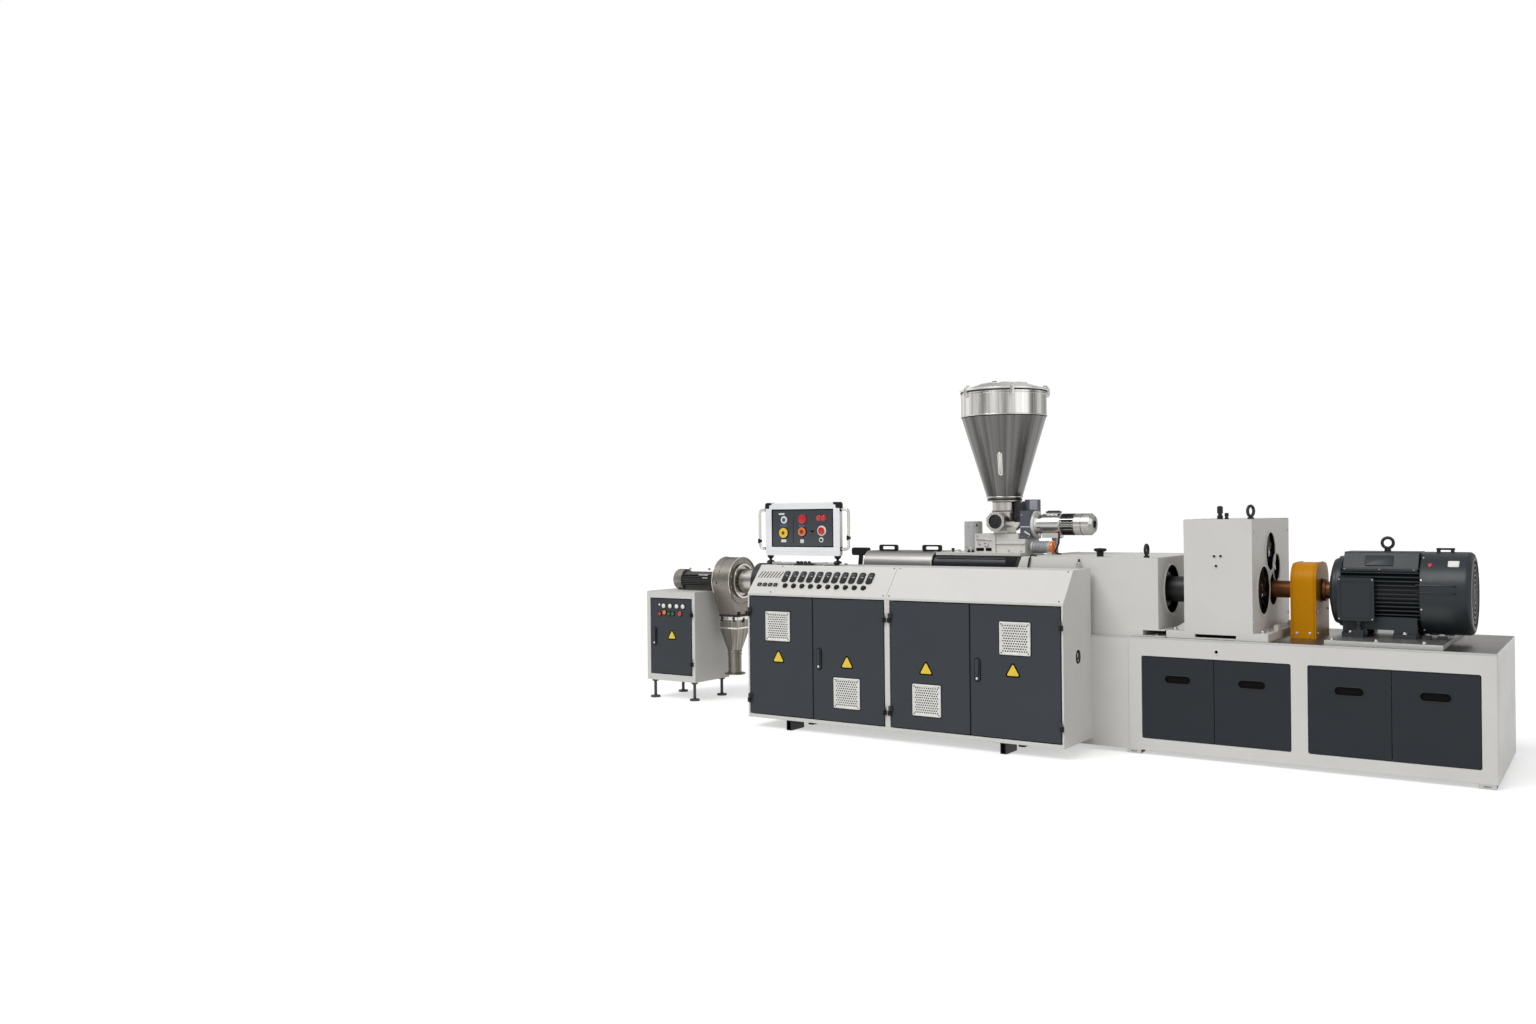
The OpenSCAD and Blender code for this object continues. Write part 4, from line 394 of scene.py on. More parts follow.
class Piece:
    """One fitting, or a set of like fittings, with one material. They are all finished at the end."""

    pieces = []
    SHARP_DEG = 35

    def __init__(self, name, look, slot=None, body="machine"):
        self.name, self.look, self.body = name, looks[look], body
        self.slot = slot or SLOT_OF.get(look, look)
        self.bm = bmesh.new()
        self.pieces.append(self)

    def rings(self, rings, closed=False):
        """Joins rings of points, each with as many points as the next, into a skin."""
        loops = [[self.bm.verts.new(p) for p in ring] for ring in rings]
        for a, b in list(zip(loops, loops[1:])) + ([(loops[-1], loops[0])] if closed else []):
            for i in range(len(a)):
                j = (i + 1) % len(a)
                self.bm.faces.new((a[i], a[j], b[j], b[i]))
        if not closed:
            self.bm.faces.new(list(reversed(loops[0])))
            self.bm.faces.new(loops[-1])
        return self

    def slab(self, face, outline, low, high, bevel=0.0):
        """A raised form over the outline, between two heights, with a bevelled upper edge."""
        levels = [(outline, low), (outline, high - bevel)]
        if bevel:
            levels.append((inset(outline, bevel * 0.3), high - bevel * 0.3))
            levels.append((inset(outline, bevel), high))
        return self.rings([[face.point(u, v, w) for u, v in line] for line, w in levels])

    def rim(self, face, outer, inner, low, high, bevel=0.0):
        """A frame between two outlines with as many points each."""
        lines = [(outer, low), (outer, high - bevel), (inset(outer, bevel), high),
                 (inset(inner, -bevel), high), (inner, high - bevel), (inner, low)]
        return self.rings([[face.point(u, v, w) for u, v in line] for line, w in lines], closed=True)

    def ring(self, face, outer, inner, low, high, bevel=0.0, n=24):
        """A frame between two circles."""
        return self.rim(face, disc(outer, n), disc(inner, n), low, high, bevel)

    def lathe(self, face, profile, n=24, closed=False):
        """The profile of radius and height turned about the face's normal."""
        turns = disc(1.0, n)
        return self.rings([[face.point(max(r, 1e-5) * c, max(r, 1e-5) * s, w) for c, s in turns]
                           for r, w in profile], closed=closed)

    def tube(self, points, r, n=10):
        """A round bar along the points."""
        points = [Vector(p) for p in points]
        rings, side = [], None
        for i, p in enumerate(points):
            ahead = (points[min(i + 1, len(points) - 1)] - points[max(i - 1, 0)]).normalized()
            if side is None:
                side = ahead.orthogonal().normalized()
            side = (side - ahead * side.dot(ahead)).normalized()
            over = ahead.cross(side)
            rings.append([p + side * u + over * v for u, v in disc(r, n)])
        return self.rings(rings)

    def bolt(self, face, r):
        """A hexagon head on its washer."""
        h = r * 0.75
        self.lathe(face, [(r * 1.35, -0.001), (r * 1.35, h * 0.2), (r * 1.25, h * 0.28),
                          (r * 0.9, h * 0.28)], 20)
        return self.lathe(face, [(r, h * 0.2), (r, h * 1.05), (r * 0.86, h * 1.25), (r * 0.3, h * 1.27)], 6)

    def screw(self, face, r):
        """A domed screw head with a socket."""
        return self.lathe(face, [(r, -0.001), (r, r * 0.3), (r * 0.8, r * 0.62), (r * 0.42, r * 0.7),
                                 (r * 0.4, r * 0.3), (r * 0.05, r * 0.28)], 16)

    def done(self):
        bmesh.ops.recalc_face_normals(self.bm, faces=self.bm.faces)
        mesh = bpy.data.meshes.new(self.name)
        self.bm.to_mesh(mesh)
        self.bm.free()
        mesh.shade_smooth()
        mesh.set_sharp_from_angle(angle=math.radians(self.SHARP_DEG))
        mesh.materials.append(self.look)
        obj = new_object(self.name, mesh)
        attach(obj, self.body)


def bolts(name, r, spots):
    """A piece of like bolts, one at each place."""
    piece = Piece(name, "zinc")
    for spot in spots:
        piece.bolt(spot, r)
    return piece


def screws(name, r, spots, look="zinc", body="machine"):
    """A piece of like screws, one at each place."""
    piece = Piece(name, look, body=body)
    for spot in spots:
        piece.screw(spot, r)


# The barrel's and the cutter's common axis, and the boxes of the nodes that carry fittings
AXIS_Y, AXIS_Z = 0.55, 0.957
axis = at(0, AXIS_Y, AXIS_Z)
panels_lo, panels_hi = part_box("base_panels")
deck_lo, deck_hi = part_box("base_top")
cowl_lo, cowl_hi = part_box("motor_cowl")
term_lo, term_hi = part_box("motor_terminal_box")
guard_lo, guard_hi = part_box("coupling_guard")
gear_lo, gear_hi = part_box("gearbox")
dist_lo, dist_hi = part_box("distribution_box")
die_lo, die_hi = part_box("die_head")
cover_lo, cover_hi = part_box("barrel_cover")
trough_lo, trough_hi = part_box("vent_trough")
lid_lo, lid_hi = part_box("hopper_lid")
cab_lo, cab_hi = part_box("cabinet_floor")
cons_lo, cons_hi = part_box("cabinet_console")
hmi_lo, hmi_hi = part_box("operator_panel")
screen_lo, screen_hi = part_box("operator_screen")
cut_lo, cut_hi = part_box("cutter_cabinet")
cm_lo, cm_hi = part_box("cutter_motor")


# Base

OPENING_W, OPENING_POST, OPENING_MARGIN = 0.863, 0.089, 0.076
PANEL_GAP, PANEL_SKIN, GRIP_DROP = 0.004, 0.012, 0.132
HALF_PANEL = (OPENING_W - 3 * PANEL_GAP) / 2
FRONT_OPENINGS, BACK_OPENINGS = 2, 4

# Painted shade: black sheets at the bottom of the front grip holes and on the holes' walls, where shade falls
grip_shade, lips = Piece("panel_grip_painted_shade", "gap_black"), Piece("panel_grip_lips", "deep_black")
for opening in range(BACK_OPENINGS):
    for side in (0, 1):
        x = END_X - OPENING_MARGIN - opening * (OPENING_W + OPENING_POST) - OPENING_W + PANEL_GAP \
            + side * (HALF_PANEL + PANEL_GAP) + HALF_PANEL / 2
        spots = [back(x, panels_hi.y, panels_hi.z - GRIP_DROP)]
        if opening < FRONT_OPENINGS:
            spots.append(front(x, panels_lo.y, panels_hi.z - GRIP_DROP))
            grip_shade.slab(spots[1], stadium(0.1495, 0.0455), -PANEL_SKIN - 0.001, -PANEL_SKIN + 0.0015)
        for spot in spots:
            grip_shade.rim(spot, stadium(0.15, 0.046), stadium(0.146, 0.042), -PANEL_SKIN, -0.0005)
            lips.rim(spot, stadium(0.162, 0.058), stadium(0.149, 0.045), -0.001, 0.003, 0.0012)

spot = front(at(-1.443, 0, 0.65))
Piece("base_hole_ring", "pale").ring(spot, 0.017, 0.0105, -0.002, 0.003, 0.001)
Piece("base_hole_shade", "gap_black").slab(spot, disc(0.0108), -0.029, -0.026)

SEAMS, SHEET_MARGIN = (-1.972, -3.85), 0.012
Piece("deck_sheet", "deck_steel").slab(
    top(deck_hi.x + SEAMS[0] / 2, (deck_lo.y + deck_hi.y) / 2, deck_hi.z),
    rect(-SEAMS[0] - SHEET_MARGIN, deck_hi.y - deck_lo.y - SHEET_MARGIN, 0.004), -0.001, 0.0007, 0.0004)
seams = Piece("base_seams", "grey_top")
for x in SEAMS:
    for facet, y in ((front, base_lo.y), (back, base_hi.y)):
        seams.slab(facet(END_X + x, y, (base_lo.z + base_hi.z) / 2),
                   rect(0.003, base_hi.z - base_lo.z - 0.004), -0.001, 0.0006)


# Main motor

shaft_at = (cowl_lo + cowl_hi) / 2
on_cowl = shell(shaft_at, (cowl_hi.z - cowl_lo.z) / 2)

plate = on_cowl(-0.242, 47)
Piece("motor_plate", "pale", "plate_steel").slab(plate, rect(0.056, 0.046, 0.004), -0.004, 0.0025, 0.0008)
rivets = Piece("motor_plate_rivets", "zinc")
for spot in plate.corners(0.022, 0.018):
    rivets.lathe(spot, [(0.003, 0.002), (0.0025, 0.0035), (0.0008, 0.0042)], 10)
Piece("motor_badge", "lens_red", "guard_paint").slab(on_cowl(-0.359, 45), disc(0.011), -0.002, 0.003, 0.001)
strips, ends = Piece("cowl_strips", "dark_steel", "plate_steel"), Piece("cowl_strip_ends", "black_plastic")
for angle in (13, 3):
    spot = on_cowl(-0.325, angle)
    strips.slab(spot, rect(0.176, 0.007, 0.002), -0.002, 0.0035, 0.001)
    for du in (-0.094, 0.094):
        ends.slab(spot.moved(du, 0), rect(0.016, 0.011, 0.003), -0.003, 0.005, 0.0015)
clamp = Piece("cowl_clamp", "black_plastic")
for x in (-0.334, -0.263):
    clamp.slab(on_cowl(x, 90), rect(0.016, 0.05, 0.004), -0.004, 0.022, 0.003)
clamp.tube([on_cowl(x, 90).point(0, 0, 0.016) for x in (-0.346, -0.3, -0.251)], 0.006)
screws("cowl_screws", 0.006, [on_cowl(-0.398, angle) for angle in range(-60, 300, 40)])

COVER_SEAT, COVER_RISE, COVER_DEPTH = 0.128, 0.092, 0.06
cover_run = Vector((0, COVER_DEPTH, COVER_RISE))
cover_face = Face((END_X - 0.625, shaft_at.y - 0.172, shaft_at.z + COVER_SEAT + 0.013), X, cover_run)
Piece("motor_cover_plate", "motor_paint").slab(
    cover_face.moved(0, cover_run.length * 0.5), rect(0.15, cover_run.length * 0.62, 0.006),
    -0.003, 0.006, 0.0015)
screws("motor_cover_screws", 0.005, [top(END_X + x, shaft_at.y + y, shaft_at.z + COVER_SEAT + 0.009)
                                     for y in (-0.18, 0.18) for x in (-0.805, -0.62, -0.44)])

lid = front((term_lo.x + term_hi.x) / 2, term_lo.y, term_hi.z - 0.125)
Piece("terminal_lid_rib", "motor_paint").rim(
    lid, rect(0.165, 0.215, 0.012), rect(0.155, 0.205, 0.01), -0.001, 0.003, 0.001)
screws("terminal_lid_screws", 0.005, lid.corners(0.088, 0.114))

rails_top, MOTOR_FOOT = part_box("motor_rails")[1].z, 0.026
foot_bolts = bolts("motor_foot_bolts", 0.012, [top(END_X + x, shaft_at.y + y, rails_top + MOTOR_FOOT)
                                               for x in (-0.77, -0.485) for y in (-0.212, 0.212)])
for x in (-0.83, -0.6, -0.36):
    for y in (0.12, 0.98):
        foot_bolts.bolt(top(at(x, y, rails_top)), 0.011)
cradle = Piece("cowl_brackets", "black_paint")
for x in (-0.38, -0.3):
    for y in (-0.165, 0.165):
        cradle.slab(top(END_X + x, shaft_at.y + y, rails_top), rect(0.05, 0.05, 0.006), -0.001, 0.018, 0.003)


# Shaft guard

GUARD_R, GUARD_EDGE = 0.11, 0.035
trim = Piece("guard_seam", "guard_paint")
for x in (guard_lo.x + 0.012, guard_hi.x - 0.012):
    trim.tube(hoop(x, guard_lo, guard_hi, GUARD_R, 0.001, 0.01, 10), 0.0035, 8)
holes = Piece("guard_hole_rings", "black_paint")
for spot in (right(guard_hi.x, shaft_at.y, shaft_at.z), left(guard_lo.x, shaft_at.y, shaft_at.z)):
    holes.ring(spot, 0.072, 0.0605, -0.001, 0.006, 0.002, 32)
guard_bolts = bolts("guard_bolts", 0.007, [front(x, guard_lo.y, guard_lo.z + 0.03) for x in
                                           (guard_lo.x + GUARD_EDGE, guard_hi.x - GUARD_EDGE)])
for y in (guard_lo.y + GUARD_EDGE, guard_hi.y - GUARD_EDGE):
    for z in (guard_lo.z + 0.03, guard_lo.z + 0.16):
        guard_bolts.bolt(right(guard_hi.x, y, z), 0.007)
        guard_bolts.bolt(left(guard_lo.x, y, z), 0.007)


# Gearbox and distribution box

GEAR_RIGHT, GEAR_L, GEAR_FOOT = -1.243, 0.396, 0.044
# Painted shade: black sleeves lie on the walls of the vents and ports, where shade falls; these give their
# outer and inner faces, measured in from the hole's wall
PAINTED_SHADE_OUT, PAINTED_SHADE_IN = 0.0004, 0.0014
gear_left, foot_top = END_X + GEAR_RIGHT - GEAR_L, gear_lo.z + GEAR_FOOT
sight, glass = Piece("sight_hole_rings", "pale"), Piece("sight_hole_glass", "glass_dark")
for dx, dz in ((0.18, 0.452), (0.216, 0.453), (0.19, 0.394)):
    spot = front(gear_left + dx, gear_lo.y, foot_top + dz)
    sight.ring(spot, 0.0125, 0.0086, -0.001, 0.0025, 0.0008)
    glass.slab(spot, disc(0.0088), -0.0098, -0.006, 0.001)
Piece("gearbox_foot_shade", "gap_black").slab(
    front(gear_left + 0.18, gear_lo.y, gear_lo.z + 0.018), rect(0.2395, 0.0195), -0.0585, -0.03)
bolts("gearbox_bolts", 0.014, [top(x, y, foot_top) for x in (gear_hi.x - 0.045, gear_lo.x + 0.035)
      for y in (gear_lo.y + 0.07, gear_lo.y + 0.19, gear_hi.y - 0.19, gear_hi.y - 0.07)])
gear_depth = gear_hi.y - gear_lo.y
Piece("gearbox_lid_seam", "grey_top").rim(
    top(END_X + GEAR_RIGHT - GEAR_L / 2, (gear_lo.y + gear_hi.y) / 2, gear_hi.z),
    rect(GEAR_L - 0.006, gear_depth - 0.006, 0.004), rect(GEAR_L - 0.03, gear_depth - 0.03, 0.004),
    -0.001, 0.003, 0.001)

VENTS, VENT_FLOOR = ((0.298, 1.005, 0.145), (0.475, 1.235, 0.118), (0.622, 1.132, 0.085)), -0.0442
SHAFT_PORT_R = 0.098
hubs, vent_rings = Piece("vent_hubs", "glass_dark", "black_paint"), Piece("vent_rings", "pale")
# The black cups in the vents and round the shaft port are painted shade on their walls and floors
vent_shade = Piece("vent_painted_shade", "gap_black", "black_paint")
for y, z, r in VENTS:
    spot, out, inn = right(at(GEAR_RIGHT, y, z)), r - PAINTED_SHADE_OUT, r - PAINTED_SHADE_IN
    vent_shade.lathe(spot, [(out, 0.001), (out, VENT_FLOOR), (0.001, VENT_FLOOR), (0.001, VENT_FLOOR + 0.001),
                       (inn, VENT_FLOOR + 0.001), (inn, 0.001)], 48, closed=True)
    vent_rings.ring(spot, r + 0.009, r - 0.0005, 0.001, 0.0065, 0.002, 64)
    hubs.lathe(spot, [(r * 0.27, -0.03), (r * 0.27, -0.01), (r * 0.2, -0.005), (r * 0.05, -0.004)])
vent_shade.ring(right(at(GEAR_RIGHT, AXIS_Y, shaft_at.z)), SHAFT_PORT_R - PAINTED_SHADE_OUT, SHAFT_PORT_R - PAINTED_SHADE_IN,
           -0.0295, 0.001, n=48)
screws("vent_screws", 0.009, [right(at(GEAR_RIGHT, y, z)) for y in (0.075, 0.935) for z in (0.83, 1.36)])

DIST_RIGHT, PORT_R, BOX_FRONT = -1.796, 0.15, 0.04
port = right(at(DIST_RIGHT, 0.3, shaft_at.z))
# Painted shade: a black sleeve on the port's wall where shade falls, with twelve black radial bars in the
# same piece
port_shade = Piece("port_painted_shade", "gap_black", "black_paint")
port_shade.ring(port, PORT_R - PAINTED_SHADE_OUT, PORT_R - PAINTED_SHADE_IN, -0.031, 0.007, n=64)
for k in range(12):
    port_shade.slab(port.turned(30 * k + 15).moved(0.128, 0, -0.03), rect(0.034, 0.006, 0.002),
                   -0.001, 0.012, 0.001)
Piece("port_ring", "pale").ring(port, PORT_R + 0.0095, PORT_R + 0.0005, 0.005, 0.0085, 0.002, 64)
port_bolts = bolts("port_bolts", 0.007, port.moved(0, 0, -0.02).around(6, 0.095, 30))
port_bolts.bolt(top(at(-1.82, 0.09, dist_lo.z + 0.006)), 0.009)
screws("box_lid_screws", 0.008, [top(at(x, y, dist_hi.z)) for x in (-1.85, -2.2, -2.64)
                                 for y in (0.075, 0.935)])
Piece("box_lid_seam", "grey_top").rim(
    top(at(-2.241, 0.505, dist_hi.z)), rect(0.88, 0.922, 0.004), rect(0.866, 0.908, 0.004),
    -0.001, 0.0025, 0.001)

spot = front(END_X - 2.293, dist_lo.y, 1.1)
hook = Piece("front_hook", "zinc")
hook.slab(spot.moved(0, 0.012), rect(0.034, 0.022, 0.004), -0.001, 0.006, 0.002)
turns = [2 * math.pi * (k % 24) / 24 for k in range(26)]
hook.tube([spot.point(0.014 * math.sin(t), 0.048 - 0.02 * math.cos(t), 0.01) for t in turns], 0.0042, 8)
hook.tube([spot.point(0, 0.012, 0.004), spot.point(0, 0.022, 0.009), spot.point(0, 0.032, 0.01)], 0.005)
Piece("front_hook_shade", "rubber").slab(
    spot.moved(0, 0.08), rect(0.009, 0.02, 0.003), -0.001, 0.01, 0.002)
lead = Piece("front_conduit", "rubber")
lead.tube([at(x, BOX_FRONT + y, dist_hi.z + z) for x, y, z in
           ((-2.628, 0.1, 0.002), (-2.624, 0.05, 0.01), (-2.624, 0.012, 0.008), (-2.626, -0.008, -0.012),
            (-2.636, -0.008, -0.06), (-2.644, -0.002, -0.105))], 0.0065)
lead.lathe(front(at(-2.644, BOX_FRONT, dist_hi.z - 0.108)),
           [(0.013, -0.001), (0.013, 0.006), (0.01, 0.009), (0.002, 0.01)], 16)


# Barrel, die and trough

BAND_R, BAND_EDGE_R = 0.119, 0.117
HEATERS, HEATER_L, HEATER_GAP, HEATERS_X = 4, 0.14, 0.026, -4.75
on_barrel = shell(axis, BAND_R)
bands, plugs = Piece("heater_band_edges", "mirror_steel"), Piece("heater_plugs", "bright_steel")
plug_leads = Piece("heater_conduits", "rubber")
for k in range(HEATERS):
    start = HEATERS_X + HEATER_GAP + k * (HEATER_L + HEATER_GAP)
    for x in (start + 0.008, start + HEATER_L - 0.016):
        bands.ring(right(END_X + x, axis.y, axis.z), BAND_R + 0.003, BAND_EDGE_R, 0, 0.008, 0.001, 48)
    spot = on_barrel(start + HEATER_L / 2, 62)
    plugs.slab(spot, rect(0.052, 0.036, 0.006), -0.004, 0.024, 0.004)
    plug_leads.tube([spot.point(0, v, w) for v, w in ((0, 0.02), (0.012, 0.034), (0.035, 0.036),
                                                      (0.06, 0.018), (0.075, -0.012))], 0.006)

ADAPTOR_BAND = 0.06
Piece("adaptor_band", "black_paint").ring(
    left(die_lo.x, axis.y, axis.z), 0.148, 0.0982, -0.001, ADAPTOR_BAND, 0.004, 64)
bolts("die_bolts", 0.008, right(die_hi.x, axis.y, axis.z).around(10, 0.134, 18)
      + left(die_lo.x - ADAPTOR_BAND, axis.y, axis.z).around(10, 0.134, 18))

clamp_at = Vector((END_X - 4.1, axis.y, axis.z))
jaw = Piece("barrel_clamp", "black_paint")
jaw.ring(right(clamp_at), 0.137, BAND_EDGE_R, -0.022, 0.022, 0.003, 48)
jaw.slab(front(clamp_at + Vector((0, -0.06, 0.15))), rect(0.04, 0.08, 0.006), -0.012, 0.016, 0.004)
jaw.tube([clamp_at + Vector(p) for p in ((0, -0.064, 0.178), (0.055, -0.066, 0.196),
                                         (0.115, -0.068, 0.204))], 0.009)
Piece("clamp_block", "mirror_steel").slab(
    front(clamp_at + Vector((-0.045, -0.075, 0.125))), rect(0.046, 0.055, 0.005), -0.045, 0.01, 0.003)
Piece("clamp_bar", "oxide_red").slab(
    front(clamp_at + Vector((-0.115, -0.07, 0.122))), rect(0.096, 0.036, 0.006), -0.03, 0.012, 0.003)

cover_edge = Piece("cover_edges", "mirror_steel")
for x in (cover_lo.x + 0.004, cover_hi.x - 0.004):
    cover_edge.tube(hoop(x, cover_lo, cover_hi, 0.09, 0.0, 0.005, 8), 0.0035, 8)

strips = Piece("trough_strips", "dark_steel")
for x, w in ((-3.36, 0.094), (-3.215, 0.124)):
    strips.slab(front(END_X + x, trough_lo.y, trough_hi.z - 0.07), rect(w, 0.01, 0.003), -0.013, 0.001, 0.001)
strips.slab(front(END_X - 3.146, trough_lo.y, trough_hi.z - 0.082), rect(0.008, 0.04, 0.002),
            -0.001, 0.003, 0.001)
Piece("trough_edge", "dark_steel").tube(
    [(x, trough_lo.y + 0.012, trough_hi.z - 0.02) for x in
     (trough_lo.x + 0.03, trough_lo.x + 0.2, trough_hi.x - 0.08)], 0.004, 8)


# Hopper

HOPPER_R, HOPPER_OUT_R, CYLINDER_H = 0.294, 0.116, 0.172
cone_top = hopper_hi.z - CYLINDER_H


def upright(z):
    return top(hopper_axis.x, hopper_axis.y, z)


def outwards(degrees):
    return Vector((math.cos(math.radians(degrees)), math.sin(math.radians(degrees)), 0))


seals = Piece("hopper_seals", "rubber")
seals.ring(upright(hopper_hi.z - 0.009), HOPPER_R + 0.006, HOPPER_R - 0.001, 0, 0.008, 0.002, 96)
seals.ring(upright(hopper_lo.z - 0.001), HOPPER_OUT_R + 0.005, HOPPER_OUT_R - 0.001, 0, 0.01, 0.002, 64)
beads = Piece("hopper_beads", "mirror_steel")
for z in (hopper_hi.z - 0.024, cone_top):
    beads.ring(upright(z - 0.004), HOPPER_R + 0.005, HOPPER_R - 0.001, 0, 0.008, 0.003, 96)
beads.ring(upright(hopper_lo.z + 0.02), HOPPER_OUT_R + 0.012, HOPPER_OUT_R + 0.001, 0, 0.007, 0.002, 64)
Piece("hopper_joint", "gap_black").ring(
    upright(cone_top - 0.01), HOPPER_R - 0.0005, HOPPER_R - 0.006, 0, 0.0045, n=96)

clips = Piece("lid_clamps", "bright_steel")
for degrees in (-125, -55, 25, 100, 170):
    out = outwards(degrees)
    spot = Face(hopper_axis + out * (HOPPER_R + 0.0105) + Z * (lid_lo.z - 0.01), Z.cross(out), Z)
    clips.slab(spot, rect(0.026, 0.07, 0.005), -0.016, 0.004, 0.002)
    clips.tube([spot.point(0, 0.03, 0.002), spot.point(0, 0.044, -0.01), spot.point(0, 0.042, -0.034)], 0.005)
    clips.tube([spot.point(-0.008, -0.03, 0.004), spot.point(0, -0.01, 0.01),
                spot.point(0.0, 0.024, 0.007)], 0.004)
posts = Piece("lid_knobs", "black_plastic")
for degrees in (-90, 30, 150):
    posts.lathe(top(hopper_axis + outwards(degrees) * 0.145 + Z * lid_hi.z),
                [(0.01, -0.001), (0.01, 0.003), (0.016, 0.005), (0.017, 0.009), (0.01, 0.0115),
                 (0.001, 0.012)], 18)
Piece("lid_flat_edge", "mirror_steel").ring(upright(lid_hi.z), 0.165, 0.158, -0.001, 0.003, 0.001, 72)

SIGHT_DEG, SIGHT_Z = -74, 1.824
cone_in, cone_up = HOPPER_R - HOPPER_OUT_R, cone_top - hopper_lo.z
sight_out = outwards(SIGHT_DEG)
sight_face = Face(
    hopper_axis + sight_out * (HOPPER_OUT_R + cone_in * (SIGHT_Z - hopper_lo.z) / cone_up) + Z * SIGHT_Z,
    Z.cross(sight_out), sight_out * cone_in + Z * cone_up)
Piece("sight_slot_frame", "mirror_steel").rim(
    sight_face, stadium(0.032, 0.164), stadium(0.02, 0.152), -0.006, 0.005, 0.0015)
# The slot's glass is real; its white colour is a painted highlight
Piece("sight_slot_painted_highlight", "lens_white").slab(sight_face, stadium(0.02, 0.152), -0.006, 0.003, 0.0008)


# Feeder

PLATE_TOP, NECK_Z, NECK_R = 1.212, 1.49, 0.084
FEEDER_X, FEEDER_Z, CASE_X = -3.03, 1.426, -2.875
LINK_GAP, LINK_D, LINK_Z, LINK_H = 0.006, 0.088, 1.422, 0.142
case_front = front(END_X + CASE_X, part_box("feeder_gear_case")[0].y, 0)
Piece("gear_case_panel", "lilac").slab(
    case_front.moved(0.1, 1.538), rect(0.056, 0.066, 0.004), -0.001, 0.0025, 0.001)
link_l = -FEEDER_X + CASE_X - NECK_R - LINK_GAP
link = Piece("link_cover", "black_paint")
link.slab(front(at(CASE_X - link_l / 2, AXIS_Y - LINK_D / 2, LINK_Z + LINK_H / 2)),
          rect(link_l - 0.001, LINK_H - 0.001, 0.003), -LINK_D - 0.0015, 0.0015, 0.001)
link.slab(top(at(CASE_X - link_l / 2, AXIS_Y, LINK_Z + LINK_H)), rect(link_l - 0.001, LINK_D, 0.003),
          -LINK_H - 0.001, 0.0015, 0.001)
case_line = Piece("gear_case_strip", "pale")
case_line.slab(case_front.moved(0.036, 1.389), rect(0.07, 0.006, 0.002), -0.003, 0.002, 0.0008)
case_line.slab(case_front.moved(0.052, 1.345).turned(-32), rect(0.048, 0.01, 0.003), -0.001, 0.0035, 0.001)
screws("gear_case_screws", 0.005, [case_front.moved(du, z) for du, z in
                                   ((0.012, 1.32), (0.06, 1.32), (0.012, 1.47), (0.012, 1.56))])


def motor_end(x):
    return right(at(x, AXIS_Y, 1.404))


Piece("feeder_motor_rim", "pale").ring(motor_end(-2.785), 0.0935, 0.078, -0.017, 0.002, 0.001, 40)
bolts("feeder_motor_bolts", 0.0045, motor_end(-2.783).around(6, 0.085, 30))
ribs = Piece("feeder_motor_shell", "dark_steel")
for k, spot in enumerate(motor_end(-2.6).around(36, 0.068, 5)):
    ribs.slab(spot.turned(10 * k + 5), rect(0.012, 0.0035, 0.001), 0, 0.084)
cap = Piece("feeder_motor_slots", "gap_black")
for k in range(18):
    cap.slab(motor_end(-2.38).turned(20 * k).moved(0.044, 0), rect(0.02, 0.004, 0.0015), -0.004, 0.0006)
cap.lathe(motor_end(-2.38), [(0.026, -0.009), (0.026, -0.005), (0.01, -0.004), (0.001, -0.004)], 20)
Piece("feeder_motor_line", "gap_black").ring(motor_end(-2.455), 0.0748, 0.072, -0.0015, 0.0015, n=48)
feeder_plug = Piece("feeder_terminal_box", "dark_steel")
feeder_plug.slab(top(at(-2.668, AXIS_Y, 1.484)), rect(0.088, 0.078, 0.006), -0.001, 0.01, 0.003)
feeder_plug.slab(top(at(-2.668, AXIS_Y, 1.494)), rect(0.07, 0.06, 0.006), -0.001, 0.005, 0.002)

vacuum_end = right(at(-2.664, 0.49, 1.25))
orange_cap = Piece("vacuum_motor_cap", "lens_orange", "guard_paint")
orange_cap.lathe(vacuum_end, [(0.03, -0.002), (0.0445, 0.0), (0.0455, 0.006), (0.0445, 0.018),
                              (0.038, 0.0225), (0.018, 0.024), (0.014, 0.027), (0.002, 0.028)], 32)
for k in range(12):
    orange_cap.slab(vacuum_end.moved(0, 0, 0.0215).turned(30 * k).moved(0.029, 0),
                    rect(0.018, 0.0045, 0.001), -0.001, 0.0028, 0.001)
vac_lead = Piece("vacuum_conduit", "rubber")
vac_lead.tube([at(*p) for p in ((-2.612, 0.492, 1.352), (-2.602, 0.474, 1.338), (-2.601, 0.47, 1.31),
                                (-2.604, 0.47, 1.275), (-2.62, 0.47, 1.24), (-2.63, 0.472, 1.222),
                                (-2.618, 0.48, 1.207), (-2.59, 0.486, 1.203))], 0.0068)
vac_lead.tube([at(*p) for p in ((-2.604, 0.47, 1.312), (-2.592, 0.468, 1.314), (-2.578, 0.466, 1.314))],
              0.0032, 8)

window = front(at(FEEDER_X, 0.388, FEEDER_Z))
Piece("feeder_window", "dark_steel").lathe(
    window, [(0.0515, -0.0098), (0.0515, -0.006), (0.046, -0.004), (0.026, -0.004), (0.024, -0.001),
             (0.012, 0.0), (0.001, 0.0)], 32)
Piece("feeder_window_rim", "pale").ring(window, 0.0545, 0.0505, -0.002, 0.0025, 0.001, 36)
bolts("feeder_window_bolts", 0.0042, window.around(8, 0.0605, 22.5))
neck_ring = Piece("neck_rings", "rubber")
for z, r in ((NECK_Z + 0.006, 0.0905), (NECK_Z + 0.07, 0.086)):
    neck_ring.ring(top(at(FEEDER_X, AXIS_Y, z)), r, 0.083, 0, 0.006, 0.001, 48)

